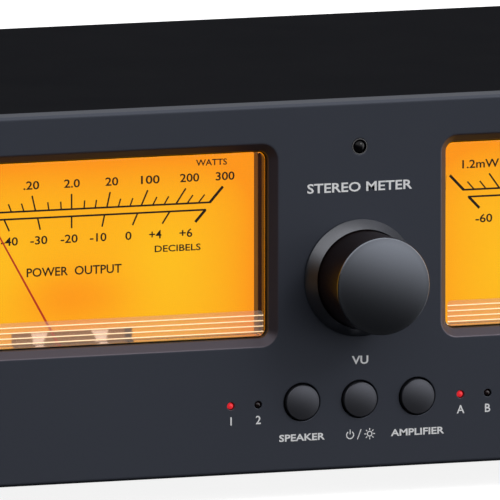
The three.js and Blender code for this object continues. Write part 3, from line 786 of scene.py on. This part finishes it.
def row_tree(name, mesh, material):
    """Geometry nodes that repeat one mesh along a straight row: Count copies, Step apart, from Start."""
    tree, sockets, ins, outs = new_tree(
        name, (("Count", "NodeSocketInt"), ("Start", "NodeSocketVector"), ("Step", "NodeSocketVector")))
    source = bpy.data.objects.new(name + "_source", mesh)
    line = add(tree, "GeometryNodeMeshLine", [("Count", ins.outputs["Count"]), ("Offset", ins.outputs["Step"]),
                                              ("Start Location", ins.outputs["Start"])])
    one = add(tree, "GeometryNodeObjectInfo", [("Object", source)])
    many = add(tree, "GeometryNodeInstanceOnPoints", [("Points", line.outputs["Mesh"]),
                                                      ("Instance", one.outputs["Geometry"])])
    paint_copies(tree, many.outputs["Instances"], material, outs)
    return tree, sockets, source


def grown(name, tree, sockets, values, source):
    """The plain mesh that a geometry-nodes tree makes with these input values."""
    maker = bpy.data.objects.new(name + "_maker", bpy.data.meshes.new(name + "_start"))
    bpy.context.scene.collection.objects.link(maker)
    modifier = maker.modifiers.new("make", "NODES")
    modifier.node_group = tree
    for label, value in values.items():
        modifier[sockets[label]] = value
    mesh = bpy.data.meshes.new_from_object(maker.evaluated_get(bpy.context.evaluated_depsgraph_get()))
    mesh.name = name
    bpy.data.objects.remove(maker)
    bpy.data.objects.remove(source)
    return mesh


def row_of(name, mesh, material, start, step, count):
    tree, sockets, source = row_tree(name, mesh, material)
    values = {"Count": count, "Start": [v * MM for v in start], "Step": [v * MM for v in step]}
    return grown(name, tree, sockets, values, source)


def cover_ribs(side):
    """Four half-round ribs moulded across the cover's face, over the frosted strip."""
    length = WINDOW_WIDTH - 2 * WINDOW_BEVEL - 1.6
    # The ribs carry the cream finish with its painted highlight and glow.
    mesh = row_of(f"{side}_ribs", rib_bar(length, 0.135), RIB_PLASTIC_PAINTED_GLOW, (METERS[side], COVER_FACE - 0.105, RIBS_TOP),
                  (0, 0, -RIB_PITCH), RIB_COUNT)
    settle(f"{side}_cover_ribs", smoothed(mesh, 50), None, "chassis")


def notched(x, width, low, high):
    """The dial's outline: a plain rectangle with a notch at the bottom where the movement shows."""
    half = width / 2
    return [(x + half, low), (x + half, high), (x - half, high), (x - half, low), (x - NOTCH_HALF, low),
            (x - NOTCH_HALF, NOTCH_TOP), (x + NOTCH_HALF, NOTCH_TOP), (x + NOTCH_HALF, low)]


def dial_plate(side):
    low, high = node_box(f"{side}_dial_plate")
    outline = notched(METERS[side], high.x - low.x, low.z, high.z + 0.9)
    bm = bmesh.new()
    front, back = wall(bm, [(outline, DIAL_FACE), (outline, DIAL_BACK)])
    for loop in (front, back):
        fill(bm, [loop])
    piece(f"{side}_dial_sheet", bm, dial_paper(side), "chassis", [f"{side}_dial_plate"], "dial_paper", sharp=20)


def dial_scales(side):
    """Two straight scale lines with ticks that point at the pivot, as thin printed bars."""
    x0, y = METERS[side] - 0.2, DIAL_FACE - 0.005
    upper, lower = -23.25, -24.9
    bm = bmesh.new()

    def mark(base, start, reach, width):
        lean = base / (PIVOT_DROP + start)
        tip = (x0 + base + lean * reach, PANEL_TOP + start + reach)
        bar(bm, (x0 + base, PANEL_TOP + start), tip, width, y - 0.001)
    bar(bm, (x0 - 35.85, PANEL_TOP + upper), (x0 + 33.6, PANEL_TOP + upper), 0.42, y)
    bar(bm, (x0 - 34.6, PANEL_TOP + lower), (x0 + 32.5, PANEL_TOP + lower), 0.42, y)
    for base in (-26.9, -17.5, -8.7, 0, 8.5, 16.8, 25.2):
        mark(base, upper, 3.5, 0.37)
    for base in (-35.67, 33.4):
        mark(base, upper, 3.5, 0.62)
    for base in (-33.1, -30.2, -23.9, -20.7, -14.5, -11.5, -5.48, -2.51, 3.0, 5.71, 11.27, 14.08, 19.6, 22.32,
                 27.89, 30.62):
        mark(base, upper, 1.85, 0.33)
    for base in (-25.0, -16.27, -8.19, 0, 7.95, 15.93, 23.7):
        mark(base, lower, -2.72, 0.37)
    for base in (-34.44, 32.35):
        mark(base, lower, -2.72, 0.62)
    piece(f"{side}_dial_scales", bm, DIAL_INK, "chassis")


def dial_words(side):
    x0, y = METERS[side] - 0.2, DIAL_FACE - 0.005
    numbers = [("1.2mW", -31.5, 9.0), ("20mW", -21.2, 7.5), (".20", -9.7, 3.8), ("2.0", 0.1, 3.8), ("20", 9.7, 3.1),
               ("100", 19.0, 4.5), ("200", 28.5, 4.65), ("300", 37.1, 4.55)]
    for i, (words, x, width) in enumerate(numbers):
        lettering(f"{side}_watts_{i}", words, x0 + x, PANEL_TOP - 17.3, y, 1.95, DIAL_INK, width)
    decibels = [("-60", -30.7, 4.1), ("-50", -22.6, 4.1), ("-40", -15.0, 4.1), ("-30", -7.9, 4.1), ("-20", -0.6, 4.1),
                ("-10", 6.4, 4.0), ("0", 13.7, 1.5), ("+4", 20.2, 3.0), ("+6", 27.6, 3.1)]
    for i, (words, x, width) in enumerate(decibels):
        lettering(f"{side}_decibels_{i}", words, x0 + x, PANEL_TOP - 29.95, y, 1.95, DIAL_INK, width)
    lettering(f"{side}_word_watts", "WATTS", x0 + 33.8, PANEL_TOP - 14.0, y, 1.45, DIAL_INK, 7.5)
    lettering(f"{side}_word_decibels", "DECIBELS", x0 + 25.6, PANEL_TOP - 33.3, y, 1.55, DIAL_INK, 11.1)
    lettering(f"{side}_word_power", "POWER  OUTPUT", x0 + 0.6, PANEL_TOP - 37.3, y, 2.05, DIAL_INK, 22.9)


def needle(side):
    """A tapered blade on a turned hub round the pivot pin."""
    low, high = node_box(f"{side}_needle")
    x0, y, length, hub = METERS[side], low.y, 46.0, 2.6
    turned = Matrix.Rotation(math.radians(REST_ANGLE), 2)
    bm = bmesh.new()
    blade = [(-0.25, 1.2), (-0.35, 30.0), (-0.48, length), (-0.68, length), (-0.7, 30.0), (-0.72, 1.2)]
    outline = [tuple(Vector((x0, PIVOT_Z)) + turned @ Vector(point)) for point in blade]
    sheet(bm, [(outline, y + 0.05), (outline, y + 0.4)])
    piece(f"{side}_needle_blade", bm, NEEDLE_PAINT_AND_GLOW, f"{side}_needle", [f"{side}_needle"], "needle_red")
    profile = [(1.1, y), (hub - 0.3, y), (hub, y + 0.3), (hub, high.y - 0.2), (hub - 0.2, high.y), (1.1, high.y),
               (1.1, y)]
    spun(f"{side}_needle_hub", profile, x0, PIVOT_Z, 48, NEEDLE_PAINT_AND_GLOW, f"{side}_needle", slot="needle_red")


def bearing_blocks(side):
    """Two white wedge blocks on the movement, either side of the pivot, narrow at the bottom."""
    x0, face, top = METERS[side], DIAL_BACK + 0.3, PIVOT_Z + 9.0
    for end, left, right, foot_left, foot_right in (("left", -9.6, -5.7, -8.7, -7.4), ("right", 4.9, 8.9, 6.9, 8.2)):
        outline = [(x0 + foot_right, top - 3.4), (x0 + right, top - 0.2), (x0 + left, top - 0.2),
                   (x0 + foot_left, top - 3.4)]
        bm = bmesh.new()
        sheet(bm, [(outline, face - 0.5), (outline, face - 0.02)])
        # The blocks carry the white finish with painted glow.
        piece(f"{side}_bearing_block_{end}", bm, WHITE_BLOCK_PAINTED_GLOW, "chassis")


# ---- Printing on the panel ----------------------------------------------------------------
def ring_mark(name, x, z, radius, width, start, end, material, y):
    """A printed arc, as a thin closed band."""
    bm = bmesh.new()
    count = 40
    angles = [math.radians(start + (end - start) * i / count) for i in range(count + 1)]
    outer = [(x + (radius + width / 2) * math.cos(a), z + (radius + width / 2) * math.sin(a)) for a in angles]
    inner = [(x + (radius - width / 2) * math.cos(a), z + (radius - width / 2) * math.sin(a)) for a in angles]
    front = [ring(bm, outer, y - 0.02), ring(bm, inner, y - 0.02)]
    back = [ring(bm, outer, y), ring(bm, inner, y)]
    for i in range(count):
        bm.faces.new((front[0][i], front[0][i + 1], front[1][i + 1], front[1][i]))
        bm.faces.new((back[0][i], back[0][i + 1], back[1][i + 1], back[1][i]))
        for f, b in zip(front, back):
            bm.faces.new((f[i], f[i + 1], b[i + 1], b[i]))
    if end - start < 360:
        for i in (0, count):
            bm.faces.new((front[0][i], front[1][i], back[1][i], back[0][i]))
    piece(name, bm, material, "chassis", merge=1e-7)


def panel_print():
    y = FACE - 0.002
    for name, letter in zip(LAMPS, "12AB"):
        lettering(f"print_{name}", letter, node_middle(f"{name}_lamp").x, PANEL_TOP - 72.1, y, 1.95, PRINT_GREY)
    for name, words, x, drop, height, width, weight in (
            ("speaker", "SPEAKER", -14.0, 76.65, 1.6, 11.1, 0.024),
            ("amplifier", "AMPLIFIER", 14.1, 76.7, 1.6, 13.0, 0.024),
            ("level", "VU", 0.1, 59.5, 1.9, 4.0, 0.024),
            ("title", "STEREO METER", 0.0, 19.6, 2.2, 25.5, 0.018)):
        lettering(f"print_{name}", words, x, PANEL_TOP - drop, y, height, PRINT_GREY, width, weight=weight)
    x, z = -2.3, PANEL_TOP - 76.7
    ring_mark("print_power_arc", x, z - 0.05, 0.85, 0.24, 125, 415, PRINT_GREY, y)
    bm = bmesh.new()
    bar(bm, (x, z + 0.1), (x, z + 1.2), 0.24, y)
    bar(bm, (x + 1.75, z - 1.15), (x + 2.65, z + 1.15), 0.22, y)
    for i in range(8):
        out = Vector((math.cos(i * math.pi / 4), math.sin(i * math.pi / 4)))
        centre = Vector((x + 4.75, z))
        bar(bm, tuple(centre + out * 0.85), tuple(centre + out * 1.3), 0.22, y)
    piece("print_icon_strokes", bm, PRINT_GREY, "chassis")
    ring_mark("print_light_ring", x + 4.75, z, 0.55, 0.24, 0, 360, PRINT_GREY, y)


# ---- Rear ---------------------------------------------------------------------------------
BLOCKS = LAMPS
POSTS = ("left_minus", "left_plus", "right_minus", "right_plus")
REAR = node_box("rear_panel")[1].y
BLOCK_PLATE = 3.0


def post_places(block):
    """The middles of a block's four caps, and the middle of them all."""
    places = [node_middle(f"{block}_cap_{post}") for post in POSTS]
    return places, sum(places, Vector()) / len(places)


def rear_panel():
    """The rear sheet with its cut-outs for the blocks and the socket."""
    low, high = node_box("rear_panel")
    middle = (low + high) / 2
    gap = 0.3
    edge = rounded(high.x - low.x, high.z - low.z, 0.6, middle.x, middle.z, steps=4)
    holes = []
    for block in BLOCKS:
        centre = post_places(block)[1]
        outline = rounded(60.0 + 2 * gap, 13.0 + 2 * gap, 1.0, centre.x, centre.z, steps=4)
        holes.append([(outline, low.y), (outline, high.y)])
    socket = node_middle("power_socket")
    outline = rounded(11.0 + 2 * gap, 11.0 + 2 * gap, 1.0, socket.x, socket.z, steps=4)
    holes.append([(outline, low.y), (outline, high.y)])
    bm = bmesh.new()
    drilled(bm, [(edge, low.y), (edge, high.y)], holes)
    piece("rear_sheet", bm, PLATE_PAINT, "chassis", ["rear_panel"], "steel_paint", sharp=30)


def terminal_block(block):
    """Moulded block: body in the case, plate outside with a step round each collar."""
    places, centre = post_places(block)
    low, high = node_box(f"{block}_block")
    plate_front, plate_back = REAR + 0.3, REAR + 0.3 + BLOCK_PLATE
    width, height = high.x - low.x, high.z - low.z

    def plate(inset):
        return rounded(width - 2 * inset, height - 2 * inset, 2.0 - inset, centre.x, centre.z, steps=8)
    body = rounded(width - 4.0, height - 4.0, 1.0, centre.x, centre.z, steps=8)
    bm = bmesh.new()
    sheet(bm, [(body, low.y), (body, plate_front), (plate(0), plate_front), (plate(0), plate_back - 0.4),
               (plate(0.12), plate_back - 0.12), (plate(0.4), plate_back), (plate(0.7), plate_back)])
    piece(f"{block}_block_body", bm, BLACK_MOULDING, "chassis", [f"{block}_block"], "black_plastic", sharp=30)
    for place, post in zip(places, POSTS):
        post_collar(f"{block}_{post}", place, plate_back, RED_CAP if post.endswith("plus") else BLACK_CAP)
        post_stud(f"{block}_{post}", place, plate_back, high.y)


def post_collar(name, place, plate, material):
    profile = [(0, plate - 0.2), (5.6, plate - 0.2), (5.6, plate + 1.7), (5.3, plate + 2.0), (3.4, plate + 2.0),
               (3.2, plate + 1.8), (0, plate + 1.8)]
    spun(f"{name}_collar", profile, place.x, place.z, 64, material, "chassis")


def post_stud(name, place, plate, end):
    """Plated stud with a cut thread and a hollow for a banana plug."""
    profile = [(0, plate + 0.5), (1.9, plate + 0.5)]
    y = plate + 2.4
    while y < end - 2.0:
        profile += [(1.62, y), (1.62, y + 0.12), (1.9, y + 0.3), (1.9, y + 0.42)]
        y += 0.55
    profile += [(1.9, end - 0.25), (1.65, end), (1.25, end), (1.2, end - 6.0), (0, end - 6.0)]
    spun(f"{name}_stud", profile, place.x, place.z, 40, BRASS, "chassis", slot="bright_steel")


def flute_mesh(length, radius):
    """One rounded flute, along Y, for a cap's grip."""
    bm = bmesh.new()
    steps = 8
    angles = [math.pi * i / steps for i in range(steps + 1)]
    section = [(math.cos(a) * radius * 1.1, math.sin(a) * radius) for a in angles]
    rings = []
    for y, shrink in ((0.0, 0.5), (0.35, 1.0), (length - 0.35, 1.0), (length, 0.5)):
        rings.append([bm.verts.new((x * MM * shrink, y * MM, z * MM * shrink)) for x, z in section])
    for first, second in zip(rings, rings[1:]):
        bridge(bm, first, second)
    for loop in (rings[0], rings[-1]):
        bm.faces.new(loop)
    return plain_mesh("flute", bm)


def flute_tree(name, mesh, material):
    """Geometry nodes that set Count copies of a flute round the Y axis at Radius, then move them to Place."""
    tree, sockets, ins, outs = new_tree(
        name, (("Count", "NodeSocketInt"), ("Radius", "NodeSocketFloat"), ("Place", "NodeSocketVector")))
    source = bpy.data.objects.new(name + "_source", mesh)
    points = add(tree, "GeometryNodePoints", [("Count", ins.outputs["Count"])])
    index = add(tree, "GeometryNodeInputIndex").outputs[0]
    share = math_node(tree, "DIVIDE", index, ins.outputs["Count"])
    angle = product(tree, share, 2 * math.pi)
    one = add(tree, "GeometryNodeObjectInfo", [("Object", source)])
    many = add(tree, "GeometryNodeInstanceOnPoints", [("Points", points.outputs[0]),
                                                      ("Instance", one.outputs["Geometry"])])
    out = add(tree, "ShaderNodeCombineXYZ", [("Z", ins.outputs["Radius"])])
    shifted = add(tree, "GeometryNodeTranslateInstances", [("Instances", many.outputs["Instances"]),
                                                           ("Translation", out.outputs[0])])
    spin = add(tree, "ShaderNodeCombineXYZ", [("Y", angle)])
    turned = add(tree, "GeometryNodeRotateInstances", [("Instances", shifted.outputs["Instances"]),
                                                       ("Rotation", spin.outputs[0]), ("Pivot Point", (0, 0, 0))])
    turned.inputs["Local Space"].default_value = False
    moved = add(tree, "GeometryNodeTranslateInstances", [("Instances", turned.outputs["Instances"]),
                                                         ("Translation", ins.outputs["Place"])])
    moved.inputs["Local Space"].default_value = False
    paint_copies(tree, moved.outputs["Instances"], material, outs)
    return tree, sockets, source


def post_cap(block, post):
    """A fluted plastic nut over a plated sleeve, open at both ends."""
    node = f"{block}_cap_{post}"
    low, high, x, z, radius = node_axis(node)
    material, slot = (RED_CAP, "cap_red") if post.endswith("plus") else (BLACK_CAP, "cap_black")
    core, bore = radius - 0.42, 2.2
    profile = [(bore + 0.8, low.y + 0.05), (core, low.y), (radius - 0.1, low.y + 0.1), (radius, low.y + 0.25),
               (radius, low.y + 1.2), (core, low.y + 1.6), (core, high.y - 1.2), (core - 0.15, high.y - 0.55),
               (core - 0.6, high.y - 0.12), (core - 1.0, high.y), (bore + 0.8, high.y), (bore + 0.8, low.y + 0.05)]
    spun(f"{node}_nut", profile, x, z, 72, material, node, [node], slot, sharp=30)
    tree, sockets, source = flute_tree(f"{node}_flutes", flute_mesh(high.y - low.y - 3.2, 0.5), material)
    values = {"Count": 20, "Radius": (core - 0.12) * MM, "Place": (x * MM, (low.y + 1.5) * MM, z * MM)}
    mesh = grown(f"{node}_grip", tree, sockets, values, source)
    settle(f"{node}_grip", smoothed(mesh, 60), None, node)
    sleeve = [(bore, low.y), (bore + 0.8, low.y), (bore + 0.8, high.y - 0.15), (bore + 0.6, high.y), (bore, high.y),
              (bore, low.y)]
    spun(f"{node}_sleeve", sleeve, x, z, 40, BRASS, node, slot="bright_steel", sharp=30)


def power_socket():
    """Barrel socket: square shell with a round mouth and a centre pin."""
    low, high, x, z, half = node_axis("power_socket")
    shell = rounded(2 * half, 2 * half, 0.8, x, z, steps=7)
    mouth = [circle(r, x, z, 32) for r in (2.8, 3.1)]
    bm = bmesh.new()
    outer = wall(bm, [(shell, low.y), (shell, high.y)])
    inner = wall(bm, [(mouth[0], high.y - 9.0), (mouth[0], high.y - 0.3), (mouth[1], high.y)])
    fill(bm, [outer[1], inner[1]])
    for loop in (outer[0], inner[0]):
        bm.faces.new(loop)
    piece("power_socket_shell", bm, BLACK_MOULDING, "chassis", ["power_socket"], "black_plastic", sharp=30)
    pin = [(0, high.y - 9.2), (1.0, high.y - 9.2), (1.0, high.y - 1.9), (0.7, high.y - 1.5), (0, high.y - 1.5)]
    spun("power_socket_pin", pin, x, z, 32, STEEL, "chassis", slot="bright_steel")


def rear_print():
    """Plain wording by each row of posts and the socket."""
    y = REAR + 0.002
    for block in BLOCKS:
        places, centre = post_places(block)
        words = block.upper().replace("_", " ")
        lettering(f"print_rear_{block}", words, centre.x, centre.z + 12.2, y, 2.0, PRINT_GREY, facing=-1, weight=0.01)
        for i, (place, text) in enumerate(zip(places, ("L-", "L+", "R-", "R+"))):
            lettering(f"print_rear_{block}_{i}", text, place.x, place.z - 10.9, y, 1.6, PRINT_GREY, facing=-1)
    socket = node_middle("power_socket")
    lettering("print_rear_power", "DC IN", socket.x, socket.z + 9.2, y, 1.8, PRINT_GREY, facing=-1, weight=0.01)


# ---- Feet, screws and inner pieces ----------------------------------------------------------
def rubber_foot(name):
    """A moulded foot with a rounded rim, a dished underside and a recess for its screw."""
    low, high = node_box(name)
    x, y, radius = (low.x + high.x) / 2, (low.y + high.y) / 2, (high.x - low.x) / 2
    profile = [(0, 2.2), (3.6, 2.2), (3.8, 2.0), (3.8, 0.5), (4.2, 0.25), (6.4, 0.2), (7.4, 0.0), (8.0, 0.0),
               (8.7, 0.3), (radius, 1.0), (radius, high.z - 1.6), (radius - 0.2, high.z - 1.1),
               (radius - 1.0, high.z), (0, high.z)]
    bm = bmesh.new()
    turn(bm, profile, 0, 0, steps=72)
    for vertex in bm.verts:
        across, up, along = vertex.co.x, vertex.co.y, vertex.co.z
        vertex.co = (across + x * MM, along + y * MM, up)
    piece(f"{name}_rubber", bm, FOOT_RUBBER, "chassis", [name], "rubber_foot", sharp=35)
    head_at(f"{name}_screw", (x, y, 2.1), (0, 0, -1), 2.6, 1.2)


def screw_mesh(radius, height):
    """A pan head that faces +Z, with a cross recess."""
    bm = bmesh.new()
    arm, wide, deep = radius * 0.52, radius * 0.14, height * 0.45
    cross = []
    for k in range(4):
        c, s = (1, 0, -1, 0)[k], (0, 1, 0, -1)[k]
        for px, py in ((wide, -wide), (arm, -wide), (arm, wide)):
            cross.append((px * c - py * s, px * s + py * c))

    def loop(points, z):
        return [bm.verts.new((px * MM, py * MM, z * MM)) for px, py in points]
    dome = []
    for part, rise in ((1.0, 0.0), (1.0, 0.45), (0.93, 0.72), (0.8, 0.88), (0.62, 1.0)):
        dome.append(loop(circle(radius * part, 0, 0, 32), height * rise))
    for first, second in zip(dome, dome[1:]):
        bridge(bm, first, second)
    bm.faces.new(dome[0])
    top, bottom = loop(cross, height), loop([(px * 0.6, py * 0.6) for px, py in cross], height - deep)
    bridge(bm, top, bottom)
    bm.faces.new(bottom)
    fill(bm, [dome[-1], top])
    return plain_mesh("screw_head", bm)


def turned_mesh(mesh, facing):
    """The mesh turned so that its +Z looks along facing."""
    mesh.transform(Vector(facing).to_track_quat("Z", "Y").to_matrix().to_4x4())
    return mesh


def head_row(name, start, facing, step, count, radius=2.4, height=1.2):
    """Screw heads along a row, seated at start and facing one way."""
    mesh = row_of(name, turned_mesh(screw_mesh(radius, height), facing), BLACK_SCREW, start, step, count)
    settle(name, smoothed(mesh, 30), None, "chassis")


def head_at(name, place, facing, radius=2.4, height=1.2):
    head_row(name, place, facing, (1, 0, 0), 1, radius, height)


def case_screws():
    low, high = node_box("top_cover")
    for side, x in (("left", low.x + 0.02), ("right", high.x - 0.02)):
        facing = (-1, 0, 0) if side == "left" else (1, 0, 0)
        start = (x, low.y + 24.0, low.z + 9.0)
        head_row(f"cover_screws_{side}", start, facing, (0, (high.y - low.y) - 48.0, 0), 2)
    rear_low, rear_high = node_box("rear_panel")
    for row, z in (("low", rear_low.z + 4.6), ("high", rear_high.z - 4.6)):
        head_row(f"rear_screws_{row}", (rear_low.x + 8.0, REAR - 0.02, z), (0, 1, 0),
                 ((rear_high.x - rear_low.x - 16.0) / 3, 0, 0), 4, radius=2.2)
    for block in BLOCKS:
        places, centre = post_places(block)
        head_row(f"{block}_screws", (centre.x - 16.0, REAR + 0.28 + BLOCK_PLATE, centre.z), (0, 1, 0), (16.0, 0, 0),
                 3, radius=1.3, height=0.7)


def dress(names, material):
    """Gives CAD nodes that are shown as they are a finish."""
    for name in names:
        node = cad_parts[name]
        node.data.materials.clear()
        node.data.materials.append(material)


def inner_finishes():
    dress(["bottom_plate"], PLATE_PAINT)
    # The meter housings and movements take finishes that carry painted amber glow.
    dress(["left_meter_housing", "right_meter_housing"], HOUSING_PAINTED_GLOW)
    dress(["left_movement", "right_movement"], MOVEMENT_CASE_PAINTED_GLOW)
    dress(["control_board", "relay_board"], BOARD_MASK)
    dress([f"{block}_relay" for block in BLOCKS], RELAY_CASE)
    dress([f"{name}_switch" for name in BUTTONS], BLACK_MOULDING)
    dress(["potentiometer", "knob_shaft"], STEEL)


def ribbon_cable():
    """Flat grey cable that joins the two boards, folded down and along the floor of the case."""
    half, thick, wires = 9.0, 0.9, 14
    front, back = node_box("control_board")[1].y, node_box("relay_board")[0].y
    path = [(front + 0.1, 20.0), (front + 6.0, 20.0), (front + 9.0, 19.0), (front + 11.0, 14.5),
            (front + 15.0, 11.6), (front + 22.0, 11.0), (back - 22.0, 11.0), (back - 15.0, 11.6),
            (back - 11.0, 14.5), (back - 9.0, 19.0), (back - 6.0, 20.0), (back - 0.1, 20.0)]
    steps = wires * 6
    bm = bmesh.new()
    loops = []
    for y, z in path:
        top, bottom = [], []
        for i in range(steps + 1):
            x = -half + 2 * half * i / steps
            swell = thick / 2 * (0.62 + 0.38 * abs(math.sin(math.pi * wires * i / steps)))
            top.append((x, y, z + swell))
            bottom.append((x, y, z - swell))
        loops.append([bm.verts.new((a * MM, b * MM, c * MM)) for a, b, c in top + bottom[::-1]])
    for first, second in zip(loops, loops[1:]):
        bridge(bm, first, second)
    for loop in (loops[0], loops[-1]):
        bm.faces.new(loop)
    piece("ribbon_cable", bm, RIBBON, "chassis", sharp=80)


# ---- Stage --------------------------------------------------------------------------------
def camera():
    """A long lens from the left and a little above, aimed left of the knob."""
    azimuth, elevation, distance = math.radians(-20.0), math.radians(7.94), 4630.0
    back = Vector((math.sin(azimuth) * math.cos(elevation), -math.cos(azimuth) * math.cos(elevation),
                   math.sin(elevation)))
    aim = Vector((-26.6, FACE, PANEL_TOP - 33.0))
    data = bpy.data.cameras.new("camera")
    data.lens = 1466.0
    data.sensor_width = 36.0
    data.clip_start = 0.05
    data.clip_end = 60.0
    lens = bpy.data.objects.new("camera", data)
    turned = back.to_track_quat("Z", "Y").to_matrix().to_4x4()
    lens.matrix_world = Matrix.Translation((aim + back * distance) * MM) @ turned
    bpy.context.scene.collection.objects.link(lens)
    bpy.context.scene.camera = lens


def softbox(name, place, aim, size, power):
    data = bpy.data.lights.new(name, "AREA")
    data.shape = "RECTANGLE"
    data.size, data.size_y = size
    data.energy = power
    box = bpy.data.objects.new(name, data)
    direction = Vector(aim) - Vector(place)
    box.matrix_world = Matrix.Translation(place) @ direction.to_track_quat("-Z", "Y").to_matrix().to_4x4()
    bpy.context.scene.collection.objects.link(box)


def floor_finish():
    """Pale matt floor that reads as white to the camera, with only a faint shadow."""
    return finish("pale_floor", (0.5, 0.5, 0.5), (0.52, 0.52, 0.52), (0.8, 0.9), grain=3.0,
                  Emission_Color=(1, 1, 1, 1), Emission_Strength=0.88)


def floor():
    bm = bmesh.new()
    bmesh.ops.create_grid(bm, x_segments=1, y_segments=1, size=30.0)
    mesh = bpy.data.meshes.new("floor")
    bm.to_mesh(mesh)
    bm.free()
    mesh.materials.append(floor_finish())
    ground = bpy.data.objects.new("floor", mesh)
    ground.visible_glossy = False
    ground.visible_diffuse = False
    bpy.context.scene.collection.objects.link(ground)


def surroundings():
    """White to the camera; as light, a room that is bright high up and far right, and dark low and behind."""
    world = bpy.data.worlds.new("studio")
    world.use_nodes = True
    tree = world.node_tree
    background = tree.nodes["Background"]
    direction = add(tree, "ShaderNodeTexCoord").outputs["Generated"]
    axes = add(tree, "ShaderNodeSeparateXYZ", [(0, direction)]).outputs
    height = total(tree, axes["Z"], product(tree, axes["X"], 0.35))

    def ramp(value, low, high, last=1.0, first=0.0):
        return add(tree, "ShaderNodeMapRange", [("Value", value), ("From Min", low), ("From Max", high),
                                                ("To Min", first), ("To Max", last)]).outputs[0]
    rise = ramp(height, -0.3, 0.32)
    above = math_node(tree, "POWER", rise, 2.5)
    strip = ramp(axes["X"], 0.75, 0.96)
    room = total(tree, above, product(tree, strip, 1.3))
    behind = ramp(axes["Y"], 0.4, 0.9, last=0.38, first=1.0)
    light = total(tree, product(tree, room, behind), 0.02)
    seen = add(tree, "ShaderNodeLightPath").outputs["Is Camera Ray"]
    tree.links.new(mix_value(tree, seen, light, 1.0), background.inputs["Strength"])
    background.inputs["Color"].default_value = (1, 1, 1, 1)
    bpy.context.scene.world = world


# ---- The whole amplifier ------------------------------------------------------------------
front_panel()
top_cover()
sensitivity_knob()
knob_ring()
for name in BUTTONS:
    button_cap(name)
for name in LAMPS:
    lamp(name, name in ("speaker_1", "amplifier_a"))
remote_eye()
for side in METERS:
    meter_cover(side)
    frosted_strip(side)
    cover_ribs(side)
    dial_plate(side)
    dial_scales(side)
    dial_words(side)
    needle(side)
    bearing_blocks(side)
panel_print()
rear_panel()
for block in BLOCKS:
    terminal_block(block)
    for post in POSTS:
        post_cap(block, post)
power_socket()
rear_print()
for end in ("front", "rear"):
    for side in METERS:
        rubber_foot(f"foot_{end}_{side}")
case_screws()
inner_finishes()
ribbon_cable()

camera()
floor()
surroundings()
softbox("key", (1.3, -1.5, 1.5), (0, 0, 0.05), (0.9, 0.9), 16.0)
softbox("top", (0.0, 0.5, 1.8), (0, 0, 0.05), (1.6, 1.0), 4.0)
bpy.context.scene.view_settings.view_transform = "Standard"
